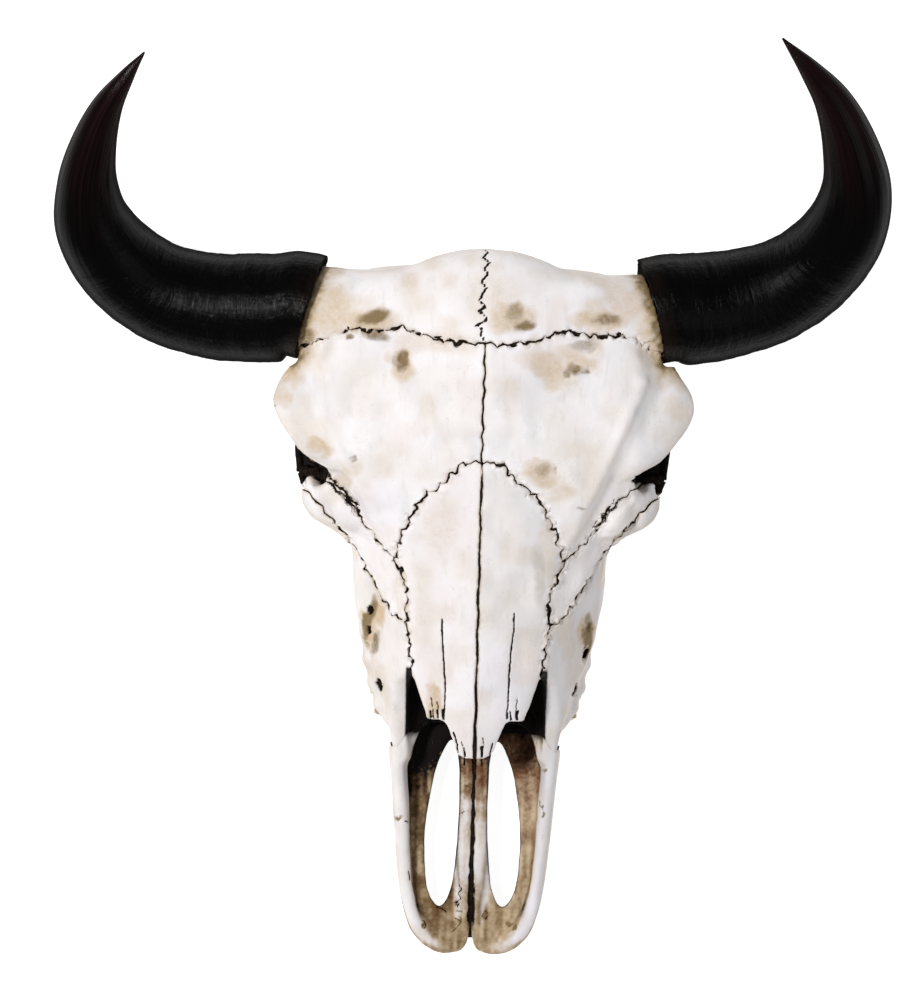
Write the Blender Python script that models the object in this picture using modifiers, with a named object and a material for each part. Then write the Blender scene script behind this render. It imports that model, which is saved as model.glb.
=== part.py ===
# Bison skull, life size, upper skull with both horn sheaths.
# The skull lies as it would on a table, on its cheek teeth and the two processes beside the
# neck joint. X runs across the skull, +Y to the back of the head, +Z up through the forehead.
# While it is modelled, x = 0 is the middle plane and y = 0 lies in front of the eye sockets.
# Every size is in millimetres times MM.

import math
import random

import bmesh
import bpy
import numpy as np
from mathutils import Matrix, Vector

MM = 0.001
GAP = 0.3
FAR = 400.0

# Driving sizes
BLEND_VOXEL = 2.6
CARVED_VOXEL = 2.0
BODY_TRIANGLES = 5800
SIDES = (("left", 1), ("right", -1))

# Head stations, front to back: y, top middle z, shoulder (x, z), flank (x, z), lower edge (x, z),
# underside middle z
HEAD = (
    (-126, 102, (24, 97), (60, 60), (62, 30), 33),
    (-95, 111, (41, 101), (69, 60), (74, 26), 35),
    (-60, 122, (51, 108), (81, 62), (86, 24), 39),
    (-20, 134, (55, 120), (93, 66), (92, 24), 43),
    (20, 147, (59, 134), (98, 80), (91, 25), 45),
    (50, 158, (70, 147), (101, 99), (82, 32), 46),
    (80, 169, (86, 159), (117, 116), (74, 46), 48),
    (107, 180, (99, 168), (106, 132), (58, 62), 53),
    (135, 190, (112, 176), (92, 138), (46, 72), 56),
    (165, 198, (124, 181), (76, 134), (44, 72), 55),
    (190, 203, (122, 185), (76, 128), (52, 64), 49),
    (215, 205, (108, 188), (100, 126), (64, 56), 44),
    (238, 202, (98, 186), (112, 112), (70, 52), 42),
    (252, 194, (86, 176), (106, 106), (66, 54), 46),
    (260, 178, (66, 160), (88, 104), (52, 60), 54),
)

# Brow stations, front to back: y, shoulder (x, z), rim (x, z)
BROW = (
    (94, (86, 161), (104, 148)),
    (102, (91, 165), (121, 150)),
    (111, (97, 169), (137, 155)),
    (118, (101, 171), (143, 157)),
    (127, (105, 174), (150, 158)),
    (139, (110, 177), (158, 159)),
    (153, (114, 179), (163, 159)),
    (167, (118, 181), (159, 161)),
    (179, (120, 183), (151, 164)),
    (191, (116, 184), (143, 166)),
    (203, (106, 184), (130, 166)),
    (213, (100, 182), (118, 164)),
)

# Middle of the bony ring round each eye socket, and the point it narrows towards inside the head
RIM = (
    (113, 105, 142), (121, 113, 148), (131, 120, 152), (140, 129, 154), (146, 140, 152), (150, 150, 141),
    (149, 152, 123), (145, 146, 107), (142, 132, 98), (141, 115, 94), (139, 99, 95), (133, 87, 102),
    (124, 83, 113), (115, 89, 128),
)
SOCKET_HEART = (88, 122, 128)

# Horn sheaths: centre (x out from the middle, y, z) and the diameter there, base to tip
HORN = {
    "right": (
        ((137, 225, 161), 83),
        ((174, 223, 155), 85),
        ((213, 224, 151), 82),
        ((252, 234, 154), 77),
        ((283, 255, 169), 71),
        ((302, 282, 194), 61),
        ((306, 311, 217), 48),
        ((301, 339, 239), 37),
        ((290, 367, 259), 25),
        ((274, 391, 273), 12),
        ((261, 408, 281), 1.6),
    ),
    "left": (
        ((130, 228, 161), 83),
        ((158, 230, 156), 87),
        ((193, 236, 151), 83),
        ((226, 247, 154), 78),
        ((253, 265, 169), 72),
        ((273, 291, 194), 65),
        ((280, 322, 217), 55),
        ((273, 353, 239), 44),
        ((259, 383, 259), 31),
        ((240, 406, 273), 18),
        ((217, 430, 281), 1.6),
    ),
}
HORN_SIDES = 18
HORN_RINGS = 26
HORN_DEPTH = 0.93
HORN_SEAT = 37.0
HORN_SKEW = 16.0
HORN_LIP = 4.0

# Cheek teeth, front to back: length along the row and width across it
TEETH = ((16, 15), (19, 18), (20, 21), (27, 24), (31, 26), (33, 25))
TOOTH_ROW_FRONT = (73, -96)
TOOTH_ROW_BACK = (77, 48)
TOOTH_ROOT_Z = 33.0
TOOTH_NECK_Z = 18.0

# Bone outlines seen from above, on one side of the middle plane
NASAL_ARCH = ((0, 107), (10, 108), (20, 102), (34, 88), (46, 79), (53, 65), (60, 52), (66, 32))
NASAL_SIDE = ((66, 32), (58, 15), (55, 2), (55, -18), (53, -36), (50, -57))
NASAL_TIPS = ((50, -57), (40, -92), (37, -95), (27, -94), (23, -98), (15, -120), (8, -125), (0, -126))
TEAR_BONE_INNER = ((126, 95), (105, 79), (88, 56), (66, 32))
TEAR_BONE_OUTER = ((55, -18), (67, -11), (76, 3), (87, 22), (97, 41), (110, 56), (125, 72), (143, 90))
CROWN_SEAM = (
    (0, 199), (20, 199), (37, 201), (50, 205), (62, 210), (74, 208), (86, 206), (100, 208),
    (113, 206), (126, 200), (138, 195), (152, 193),
)
SLIT = ((28, -12), (27.5, -30), (27, -50), (26, -70), (25, -89))


def catmull(points, count, closed=False):
    """Points on a smooth curve that passes through the given ones."""
    given = np.array(points, float)
    total = len(given)
    spans = total if closed else total - 1
    found = []
    for step in range(count):
        place = step * spans / (count if closed else count - 1)
        i = min(int(place), spans - 1)
        t = place - i
        if closed:
            p0, p1, p2, p3 = (given[(i + k) % total] for k in (-1, 0, 1, 2))
        else:
            p1, p2 = given[i], given[i + 1]
            p0 = given[i - 1] if i else 2 * p1 - p2
            p3 = given[i + 2] if i + 2 < total else 2 * p2 - p1
        found.append(
            0.5 * (2 * p1 + (p2 - p0) * t + (2 * p0 - 5 * p1 + 4 * p2 - p3) * t * t
                   + (3 * p1 - p0 - 3 * p2 + p3) * t ** 3)
        )
    return np.array(found)


def link(name, bm):
    bmesh.ops.recalc_face_normals(bm, faces=bm.faces)
    mesh = bpy.data.meshes.new(name)
    bm.to_mesh(mesh)
    bm.free()
    obj = bpy.data.objects.new(name, mesh)
    bpy.context.scene.collection.objects.link(obj)
    return obj


def loft(name, rings):
    """A closed skin over rings of equal length, in millimetres, with a fan at each end."""
    bm = bmesh.new()
    rows = [[bm.verts.new(Vector(p) * MM) for p in ring] for ring in rings]
    sides = len(rows[0])
    for a, b in zip(rows, rows[1:]):
        for i in range(sides):
            j = (i + 1) % sides
            bm.faces.new((a[i], a[j], b[j], b[i]))
    for row in (rows[0], rows[-1]):
        middle = bm.verts.new(sum((v.co for v in row), Vector()) / sides)
        for i in range(sides):
            bm.faces.new((row[i], row[(i + 1) % sides], middle))
    return link(name, bm)


def sweep(name, stations, sides=16, tilt=0.0):
    """A bar through stations (centre, width, height), with elliptical sections."""
    centres = catmull([s[0] for s in stations], 4 * len(stations))
    spans = catmull([(s[1], s[2]) for s in stations], 4 * len(stations))
    rings = []
    for i, (centre, (width, height)) in enumerate(zip(centres, spans)):
        ahead = centres[min(i + 1, len(centres) - 1)] - centres[max(i - 1, 0)]
        along = Vector(ahead).normalized()
        up = Vector((math.sin(tilt), 0, math.cos(tilt)))
        if abs(along.dot(up)) > 0.95:
            up = Vector((0, 1, 0))
        across = along.cross(up).normalized()
        up = across.cross(along)
        ring = []
        for k in range(sides):
            a = 2 * math.pi * k / sides
            ring.append(
                Vector(centre) + across * (math.cos(a) * width / 2) + up * (math.sin(a) * height / 2)
            )
        rings.append(ring)
    return loft(name, rings)


def ball(name, centre, radii, turn=(0, 0, 0), segments=20):
    """An ellipsoid, turned about X, Y and Z in degrees."""
    bm = bmesh.new()
    bmesh.ops.create_uvsphere(bm, u_segments=segments, v_segments=segments // 2 + 2, radius=1)
    obj = link(name, bm)
    place = Matrix.Translation(Vector(centre) * MM)
    for axis, angle in zip("XYZ", turn):
        place = place @ Matrix.Rotation(math.radians(angle), 4, axis)
    obj.data.transform(place @ Matrix.Diagonal((*(Vector(radii) * MM), 1)))
    return obj


def prism(name, outline, low, high, axis="Z"):
    """An outline pushed along an axis, from low to high. Across X the outline is (y, z)."""
    bm = bmesh.new()
    def corner(p, level):
        spot = (p[0], p[1], level) if axis == "Z" else (level, p[0], p[1])
        return bm.verts.new(Vector(spot) * MM)
    lower = [corner(p, low) for p in outline]
    upper = [corner(p, high) for p in outline]
    bm.faces.new(lower)
    bm.faces.new(upper)
    for i in range(len(outline)):
        j = (i + 1) % len(outline)
        bm.faces.new((lower[i], lower[j], upper[j], upper[i]))
    return link(name, bm)


def apply_modifiers(obj):
    graph = bpy.context.evaluated_depsgraph_get()
    mesh = bpy.data.meshes.new_from_object(obj.evaluated_get(graph))
    obj.modifiers.clear()
    old, obj.data = obj.data, mesh
    bpy.data.meshes.remove(old)
    return obj


def keep_largest(obj):
    """Leaves the largest closed surface of a mesh, without sealed hollows, scraps or near-double points."""
    bm = bmesh.new()
    bm.from_mesh(obj.data)
    bmesh.ops.remove_doubles(bm, verts=bm.verts, dist=0.003 * MM)
    left = set(bm.verts)
    groups = []
    while left:
        stack = [left.pop()]
        group = list(stack)
        while stack:
            for edge in stack.pop().link_edges:
                for v in edge.verts:
                    if v in left:
                        left.remove(v)
                        stack.append(v)
                        group.append(v)
        groups.append(group)
    groups.sort(key=len)
    loose = [v for group in groups[:-1] for v in group]
    bmesh.ops.delete(bm, geom=loose, context="VERTS")
    bm.to_mesh(obj.data)
    bm.free()
    return obj


def combine(obj, operation, others, solver="EXACT"):
    """One Boolean of obj with a collection of closed meshes, which are then removed."""
    group = bpy.data.collections.new("operands")
    bpy.context.scene.collection.children.link(group)
    for other in others:
        group.objects.link(other)
    modifier = obj.modifiers.new(operation.lower(), "BOOLEAN")
    modifier.operation = operation
    modifier.operand_type = "COLLECTION"
    modifier.collection = group
    modifier.solver = solver
    apply_modifiers(obj)
    for other in others:
        bpy.data.objects.remove(other)
    bpy.data.collections.remove(group)
    return obj


def duplicate(obj, name):
    copy = bpy.data.objects.new(name, obj.data.copy())
    bpy.context.scene.collection.objects.link(copy)
    return copy


def remesh(obj, voxel, rounds, factor=0.5):
    modifier = obj.modifiers.new("remesh", "REMESH")
    modifier.mode = "VOXEL"
    modifier.voxel_size = voxel * MM
    if rounds:
        soften = obj.modifiers.new("soften", "SMOOTH")
        soften.factor = factor
        soften.iterations = rounds
    return apply_modifiers(obj)


def thin_out(obj, triangles):
    obj.data.update()
    now = sum(len(p.vertices) - 2 for p in obj.data.polygons)
    modifier = obj.modifiers.new("thin_out", "DECIMATE")
    modifier.ratio = min(1.0, triangles / now)
    modifier.use_collapse_triangulate = True
    return apply_modifiers(obj)


def mirrored(points, side):
    return [(side * p[0], *p[1:]) for p in points]


# The head's masses

def hoop(name, points, width, sides=12):
    """A round bar bent into a closed ring."""
    centres = catmull(points, 40, closed=True)
    middle = Vector(centres.mean(0))
    bm = bmesh.new()
    rows = []
    for i, centre in enumerate(centres):
        along = Vector(centres[(i + 1) % 40] - centres[i - 1]).normalized()
        out = (Vector(centre) - middle).normalized()
        out = (out - along * out.dot(along)).normalized()
        across = along.cross(out)
        rows.append([])
        for k in range(sides):
            a = 2 * math.pi * k / sides
            spot = Vector(centre) + (out * math.cos(a) + across * math.sin(a)) * width / 2
            rows[-1].append(bm.verts.new(spot * MM))
    for i, row in enumerate(rows):
        after = rows[(i + 1) % 40]
        for k in range(sides):
            bm.faces.new((row[k], row[(k + 1) % sides], after[(k + 1) % sides], after[k]))
    return link(name, bm)


def socket(name, s, steps):
    """A funnel from the socket's rim into the head: how far in it is, and its size there."""
    rim = catmull(mirrored(RIM, s), 32, closed=True)
    mouth = rim.mean(0)
    heart = np.array((s * SOCKET_HEART[0], *SOCKET_HEART[1:]), float)
    return loft(name, [mouth + (heart - mouth) * depth + (rim - mouth) * size for depth, size in steps])


def head_rings():
    stations = np.array([(y, zt, *e, *m, *b, zc) for y, zt, e, m, b, zc in HEAD], float)
    rings = []
    for y, zt, xe, ze, xm, zm, xb, zb, zc in catmull(stations, 60):
        half = [(0, zt), (xe * 0.62, zt * 0.35 + ze * 0.65 + 2.5), (xe, ze), (xm, zm), (xb, zb), (xb * 0.5, zc)]
        points = [(x, z) for x, z in half] + [(0, zc)] + [(-x, z) for x, z in reversed(half[1:])]
        rings.append([(x, y, z) for x, z in catmull(points, 44, closed=True)])
    return rings


def side_masses(s):
    """What stands out of the head on one side: brow, cheek, arch, horn stump and neck joint."""
    def at(x, y, z):
        return (s * x, y, z)
    return [
        loft("brow", [[at(x, y, z) for x, z in catmull(
            ((64, ze - 10), (xe, ze), (xe * 0.55 + xr * 0.45, ze * 0.5 + zr * 0.5 + 4), (xr, zr + 3), (xr, zr - 5),
             (xr - 14, zr - 13), (90, zr - 24), (64, zr - 30)), 20, closed=True)]
            for y, xe, ze, xr, zr in catmull([(y, *e, *r) for y, e, r in BROW], 22)]),
        hoop("socket_rim", mirrored(RIM, s), 15),
        socket("socket_wall", s, ((0.0, 1.10), (0.3, 1.04), (0.65, 0.86), (1.0, 0.55))),
        sweep("cheek", ((at(131, 87, 106), 22, 26), (at(126, 74, 102), 27, 28), (at(106, 61, 96), 24, 30),
                        (at(88, 44, 88), 23, 36), (at(76, 22, 80), 24, 38), (at(66, 0, 78), 18, 32))),
        sweep("cheek_ridge", ((at(92, 50, 78), 22, 26), (at(88, 24, 66), 24, 22), (at(88, 2, 58), 24, 22),
                              (at(84, -28, 54), 20, 22), (at(76, -60, 50), 18, 22))),
        sweep("tooth_ridge", ((at(64, -106, 36), 10, 18), (at(71, -94, 34), 20, 25), (at(80, -60, 33), 24, 29),
                              (at(85, -15, 33), 27, 31), (at(82, 30, 36), 27, 32), (at(76, 60, 44), 18, 26))),
        sweep("arch", ((at(141, 116, 97), 15, 22), (at(143, 136, 95), 13, 21), (at(138, 164, 96), 12, 19),
                       (at(125, 194, 100), 14, 18), (at(98, 220, 108), 24, 24))),
        sweep("stump", ((at(60, 214, 164), 84, 64), (at(96, 219, 160), 76, 68), (at(122, 223, 158), 70, 66),
                        (at(154, 228, 157), 74, 68)), sides=20),
        ball("mastoid", at(96, 236, 92), (24, 20, 34)),
        sweep("ear_canal", ((at(84, 212, 88), 22, 20), (at(112, 208, 90), 15, 15))),
        sweep("neck_process", ((at(72, 238, 78), 40, 24), (at(68, 240, 48), 33, 19), (at(61, 238, 20), 24, 15),
                               (at(57, 236, -6), 18, 13))),
        ball("neck_joint", at(32, 250, 34), (21, 21, 27), (0, s * 12, 0)),
        ball("ear_capsule", at(44, 204, 40), (13, 19, 17)),
        sweep("wing", ((at(26, 44, 44), 10, 34), (at(25, 74, 42), 7, 40), (at(24, 104, 44), 7, 34),
                       (at(24, 134, 52), 9, 20))),
        ball("socket_floor", at(92, 96, 96), (30, 34, 26)),
        ball("tear_hollow", at(99, 78, 117), (20, 26, 21)),
    ]


def front_masses(s):
    """The forked bone at the muzzle: an outer bar, a low floor beside it and an inner rod."""
    def at(x, y, z):
        return (s * x, y, z)
    plate = prism("plate", mirrored(
        ((1, -80), (62, -80), (64, -130), (61, -170), (58, -208), (55, -238), (51, -257), (44, -270), (32, -279),
         (17, -283), (5, -281), (1, -272)), s), 19, 28)
    return [
        sweep("outer_bar", ((at(66, -84, 48), 18, 44), (at(62, -112, 44), 15, 38), (at(60, -138, 40), 14, 32),
                            (at(57, -172, 36), 14, 27), (at(54, -210, 32), 13, 23), (at(50, -240, 29), 13, 20),
                            (at(41, -265, 27), 14, 17), (at(24, -277, 26), 14, 15), (at(8, -277, 25), 12, 12))),
        sweep("inner_rod", ((at(6, -70, 36), 12, 16), (at(6.4, -130, 30), 11.5, 15), (at(6.6, -200, 27), 12, 14),
                            (at(8, -262, 25), 14, 12))),
        plate,
    ]


def crown_masses():
    return [
        ball("crown", (0, 230, 172), (78, 45, 28)),
        ball("nape", (0, 244, 120), (74, 22, 66)),
        sweep("skull_floor", (((0, 60, 62), 60, 40), ((0, 120, 60), 46, 34), ((0, 180, 54), 52, 34),
                              ((0, 244, 48), 66, 40))),
    ]


def carvers():
    """Closed shapes that are taken out of the blended head."""
    cuts = []
    cavity = (
        (-134, 54, 40, 96), (-100, 54, 41, 104), (-62, 52, 46, 113), (-24, 44, 50, 124), (10, 36, 54, 130),
        (36, 26, 62, 128),
    )
    rings = []
    for y, half, floor, roof in catmull(cavity, 14):
        middle, tall = (floor + roof) / 2, (roof - floor) / 2
        ring = []
        for k in range(28):
            a = 2 * math.pi * k / 28
            c, q = math.cos(a), math.sin(a)
            ring.append((half * math.copysign(abs(c) ** 0.6, c), y, middle + tall * math.copysign(abs(q) ** 0.7, q)))
        rings.append(ring)
    cuts.append(loft("nose_cavity", rings))
    notch = prism("notch", ((-57, 104), (-66, 88), (-84, 74), (-108, 63), (-134, 56), (-170, 52), (-170, 170),
                            (-57, 170)), -120, 120, axis="X")
    roof = NASAL_TIPS + tuple((-x, y) for x, y in reversed(NASAL_TIPS[:-1]))
    combine(notch, "DIFFERENCE", [prism("nasal_keep", roof, 40, 200)])
    cuts.append(notch)
    for _, s in SIDES:
        cuts.append(socket("socket", s, ((-0.6, 1.0), (0.0, 0.84), (0.35, 0.80), (0.7, 0.58), (0.95, 0.24))))
        cuts.append(prism("fissure_dish", [tuple(p) for p in catmull(mirrored(
            ((14, -104), (40, -100), (52, -134), (51, -168), (49, -206), (45, -236), (34, -260), (18, -268),
             (9, -262), (8, -240), (12, -200), (12, -130)), s), 30, closed=True)], 25.5, 50))
        cuts.append(ball("ear_hole", (s * 112, 208, 90), (14, 5, 5)))
        cuts.append(ball("cheek_hole", (s * 84, -40, 62), (12, 6, 5), (0, 0, s * -50)))
    cuts.append(sweep("brain_hole", (((0, 290, 58), 40, 38), ((0, 262, 60), 38, 36), ((0, 235, 70), 44, 42),
                                     ((0, 200, 84), 60, 50))))
    cuts.append(sweep("throat", (((0, 48, 52), 30, 22), ((0, 80, 46), 40, 36), ((0, 120, 34), 44, 30),
                                 ((0, 160, 20), 44, 20))))
    return cuts


def horn_end(side, s):
    """Middle of the flat on which a sheath meets its stump, and the way it faces."""
    turn = math.radians(HORN_SKEW)
    x, y, z = HORN[side][0][0]
    return Vector((s * x, y, z)), Vector((s * math.cos(turn), math.sin(turn), -0.06)).normalized()


def seat_ring(side, s, radius, out):
    """The sheath's oval section at its seat, moved out along the stump."""
    base, outward = horn_end(side, s)
    across = Vector((0, 1, 0)) - outward * outward.y
    across.normalize()
    up = across.cross(outward)
    turns = [2 * math.pi * k / HORN_SIDES for k in range(HORN_SIDES)]
    return [base + outward * out + (across * math.cos(a) + up * (math.sin(a) * HORN_DEPTH)) * radius
            for a in turns]


def stump_cutters():
    """Stepped blocks that end each horn stump on a spigot just inside the sheath's seat."""
    blocks = []
    for side, s in SIDES:
        steps = ((HORN_SEAT - GAP, -GAP), (HORN_SEAT - GAP, -GAP - HORN_LIP), (45, -GAP - HORN_LIP), (47, 60))
        blocks.append(loft("stump_end", [seat_ring(side, s, radius, out) for radius, out in steps]))
    return blocks


def muzzle_cutters(s):
    """One side's long opening of the muzzle, and the slot between its two halves."""
    fissure = ((18, -112), (29, -132), (34.5, -158), (37.5, -184), (37.5, -210), (34, -234), (25, -246),
               (17, -233), (13.5, -208), (12, -182), (11.5, -156), (12.5, -131))
    slot = ((-1, -262), (-5, -300), (5, -300), (1, -262), (1, -60), (-1, -60))
    return [
        prism("fissure", [tuple(p) for p in catmull(mirrored(fissure, s), 34, closed=True)], -10, 60),
        prism("muzzle_slot", slot, -10, 80),
    ]


def head_body():
    """The whole bony head in one closed mesh, before it is parted along its seams."""
    body = loft("head", head_rings())
    masses = crown_masses()
    for _, s in SIDES:
        masses += side_masses(s) + front_masses(s)
    combine(body, "UNION", masses)
    remesh(body, BLEND_VOXEL, 6)
    combine(body, "DIFFERENCE", carvers())
    remesh(body, CARVED_VOXEL, 3)
    keep_largest(body)
    thin_out(body, BODY_TRIANGLES)
    combine(body, "DIFFERENCE", stump_cutters())
    return keep_largest(body)


# Seams and the bones between them

def zigzag(points, swing, pitch, seed):
    """A toothed line along a smooth path, its ends left in place."""
    rng = random.Random(seed)
    path = catmull(points, 8 * len(points))
    steps = np.linalg.norm(np.diff(path, axis=0), axis=1)
    reach = np.concatenate([[0], np.cumsum(steps)])
    count = max(3, int(reach[-1] / pitch))
    line = [tuple(path[0])]
    for k in range(1, count):
        at = (k + rng.uniform(-0.22, 0.22)) * reach[-1] / count
        spot = np.array([np.interp(at, reach, path[:, 0]), np.interp(at, reach, path[:, 1])])
        i = min(int(np.searchsorted(reach, at)), len(path) - 1)
        ahead = path[i] - path[i - 1]
        ahead /= np.linalg.norm(ahead)
        swung = (1 if k % 2 else -1) * swing * rng.uniform(0.45, 1.0)
        line.append((spot[0] - ahead[1] * swung, spot[1] + ahead[0] * swung))
    line.append(tuple(path[-1]))
    return line


def grown(outline, by):
    """An outline moved outwards by a distance, corner by corner."""
    points = np.array(outline, float)
    after = np.roll(points, -1, axis=0)
    area = np.sum(points[:, 0] * after[:, 1] - after[:, 0] * points[:, 1])
    turn = 1.0 if area > 0 else -1.0
    edges = after - points
    edges /= np.linalg.norm(edges, axis=1)[:, None]
    normals = turn * np.stack([edges[:, 1], -edges[:, 0]], axis=1)
    before = np.roll(normals, 1, axis=0)
    share = 1 + np.sum(normals * before, axis=1)
    return points + by * (normals + before) / np.maximum(share, 0.45)[:, None]


def take(body, name, outline, low, high, gap=GAP, axis="Z", lobe=None):
    """Parts one bone from the body along an outline, and leaves the seam's gap in the body.

    A lobe is a second outline, with a lower edge of its own, that belongs to the same bone.
    """
    piece = duplicate(body, name)
    keep = prism("keep", outline, low, high, axis)
    wide = [tuple(p) for p in grown(outline, gap)]
    drop = prism("drop", wide, low - gap, high + gap, axis)
    if lobe:
        lobe_outline, lobe_low = lobe
        combine(keep, "UNION", [prism("keep_lobe", lobe_outline, lobe_low, high - 20)])
        wide = [tuple(p) for p in grown(lobe_outline, gap)]
        combine(drop, "UNION", [prism("drop_lobe", wide, lobe_low - gap, high - 20)])
    combine(piece, "INTERSECT", [keep])
    combine(body, "DIFFERENCE", [drop])
    keep_largest(body)
    return keep_largest(piece)


def groove(body, points, width, depth):
    """A narrow furrow along a path seen from above, pressed into the top surface."""
    body.data.update()
    rows = []
    for i, (x, y) in enumerate(points):
        hit, spot, _, _ = body.ray_cast(Vector((x, y, FAR)) * MM, Vector((0, 0, -1)))
        ahead = np.subtract(points[min(i + 1, len(points) - 1)], points[max(i - 1, 0)])
        ahead = ahead / np.linalg.norm(ahead) * width / 2
        z = spot.z / MM
        rows.append([(x - ahead[1], y + ahead[0], z + 1.5), (x + ahead[1], y - ahead[0], z + 1.5), (x, y, z - depth)])
    return combine(body, "DIFFERENCE", [loft("furrow", rows)])


def middle_line(s, low, high, swing, pitch, seed):
    """The seam down the middle plane, from low to high y."""
    return zigzag(((0, low), (0, (low + high) / 2), (0, high)), swing, pitch, seed)


def bones(body):
    """Every named bone of the head, parted from the body in turn."""
    found = {}
    nose_middle = middle_line(1, -150, 107, 0.7, 17, 3)
    brow_middle = middle_line(1, 107, 199, 0.9, 7, 5)
    groove(body, zigzag(((0, 275), (0, 236), (0, 199)), 1.5, 5.0, 9)[1:], 1.6, 1.8)
    for _, s in SIDES:
        groove(body, mirrored(SLIT, s), 1.6, 2.4)
    for k, (side, s) in enumerate(SIDES):
        arch = mirrored(zigzag(NASAL_ARCH, 2.1, 5.5, 11 + k), s)
        lower = mirrored(zigzag(NASAL_SIDE, 1.2, 5.5, 21 + k), s)
        outline = arch + lower[1:] + [(s * 58, -150), (0, -150)] + nose_middle[1:-1]
        found["nasal_" + side] = take(body, "nasal_" + side, outline, 70, FAR)
    for k, (side, s) in enumerate(SIDES):
        inner = mirrored(zigzag(TEAR_BONE_INNER, 1.5, 5.5, 31 + k), s)
        outer = mirrored(zigzag(TEAR_BONE_OUTER, 1.0, 6.5, 41 + k), s)
        outline = inner + [(s * 50, 20), (s * 48, -14)] + outer + [(s * 150, 98), (s * 130, 98)]
        found["lacrimal_" + side] = take(body, "lacrimal_" + side, outline, 84, FAR)
    for k, (side, s) in enumerate(SIDES):
        crown = mirrored(zigzag(CROWN_SEAM, 1.9, 5.0, 51 + k), s)
        outline = crown + [(s * 190, 175), (s * 190, 60), (0, 20), (0, 107)] + brow_middle[1:-1]
        lobe = mirrored(((56, 24), (128, 88), (126, 97), (121, 110), (96, 112), (54, 70)), s)
        found["frontal_" + side] = take(body, "frontal_" + side, outline, 128, FAR, lobe=(lobe, 102))
    for side, s in SIDES:
        cheek = ((36, 131), (36, 108), (52, 84), (74, 66), (104, 80), (158, 82), (172, 112), (160, 131))
        low, high = sorted((s * 93, s * 180))
        found["zygomatic_" + side] = take(body, "zygomatic_" + side, cheek, low, high, axis="X")
    for side, s in SIDES:
        outline = [(0, -330), (s * 90, -330), (s * 90, -124), (s * 61, -117), (s * 52, -104), (s * 42, -84), (0, -76)]
        piece = take(body, "premaxilla_" + side, outline, -50, 80)
        found["premaxilla_" + side] = keep_largest(combine(piece, "DIFFERENCE", muzzle_cutters(s)))
    for side, s in SIDES:
        outline = [(0, -140), (s * 130, -140), (s * 130, 60), (s * 60, 54), (0, 40)]
        found["maxilla_" + side] = take(body, "maxilla_" + side, outline, -50, 200)
    body.name = "cranium"
    found["cranium"] = body
    return found


# Teeth, horns and finish

def tooth(name, centre, length, width, turn):
    """A crown of two lobes with upright ribs on its outer face, its root sunk in the jaw."""
    sides = 16
    rings = []
    for z, scale in ((TOOTH_ROOT_Z, 0.80), (TOOTH_NECK_Z, 0.95), (-3.0, 1.0)):
        ring = []
        for k in range(sides):
            a = 2 * math.pi * k / sides
            lobes = 1 + 0.07 * math.cos(4 * a) - 0.05 * math.cos(2 * a)
            x = math.copysign(abs(math.cos(a)) ** 0.6, math.cos(a)) * width / 2 * lobes * scale
            y = math.copysign(abs(math.sin(a)) ** 0.6, math.sin(a)) * (length + 0.4) / 2 * scale
            spot = Matrix.Rotation(turn, 2) @ Vector((x, y))
            ring.append((centre[0] + spot.x, centre[1] + spot.y, z))
        rings.append(ring)
    return loft(name, rings)


def tooth_row(s):
    """Six cheek teeth from the front of the row to the back, set edge to edge."""
    front, back = Vector(TOOTH_ROW_FRONT), Vector(TOOTH_ROW_BACK)
    total = sum(length for length, _ in TEETH)
    row = []
    passed = 0.0
    for length, width in TEETH:
        share = (passed + length / 2) / total
        bow = 5.0 * math.sin(math.pi * share)
        centre = front.lerp(back, share) + Vector((bow, 0))
        lean = math.radians(-6 + 10 * share) * -s
        row.append(tooth("tooth", (s * centre.x, centre.y), length * (back - front).length / total, width, lean))
        passed += length
    return row


def horn(side, s):
    """A sheath swept along its centre line, ringed near the base, with a ragged lip."""
    rng = random.Random(7 + s)
    centres = catmull(mirrored([p for p, _ in HORN[side]], s), HORN_RINGS)
    widths = catmull([(d,) for _, d in HORN[side]], HORN_RINGS)[:, 0]
    across = Vector((0, 1, 0))
    rings = [seat_ring(side, s, HORN_SEAT, 0), seat_ring(side, s, widths[0] / 2, 0)]
    rings[1] = [p - horn_end(side, s)[1] * (HORN_LIP * rng.uniform(0.4, 1.0)) for p in rings[1]]
    for i in range(1, HORN_RINGS):
        ahead = Vector(centres[min(i + 1, HORN_RINGS - 1)] - centres[i - 1]).normalized()
        across = (across - ahead * across.dot(ahead)).normalized()
        up = across.cross(ahead)
        reach = widths[i] / 2 * (1 + 0.012 * math.cos(i * 2.4) * max(0.0, 1 - i / 14))
        turns = [2 * math.pi * k / HORN_SIDES for k in range(HORN_SIDES)]
        rings.append([
            Vector(centres[i]) + (across * math.cos(a) + up * (math.sin(a) * HORN_DEPTH)) * reach for a in turns
        ])
    return loft("horn_" + side, rings)


def material(name, colour, roughness):
    made = bpy.data.materials.new(name)
    made.use_nodes = True
    shader = made.node_tree.nodes["Principled BSDF"]
    shader.inputs["Base Color"].default_value = (*colour, 1)
    shader.inputs["Roughness"].default_value = roughness
    return made


def finish(obj, surface, group):
    obj.data.materials.clear()
    obj.data.materials.append(surface)
    obj.data.shade_smooth()
    obj.data.set_sharp_from_angle(angle=math.radians(40))
    for old in list(obj.users_collection):
        old.objects.unlink(obj)
    group.objects.link(obj)


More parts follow.
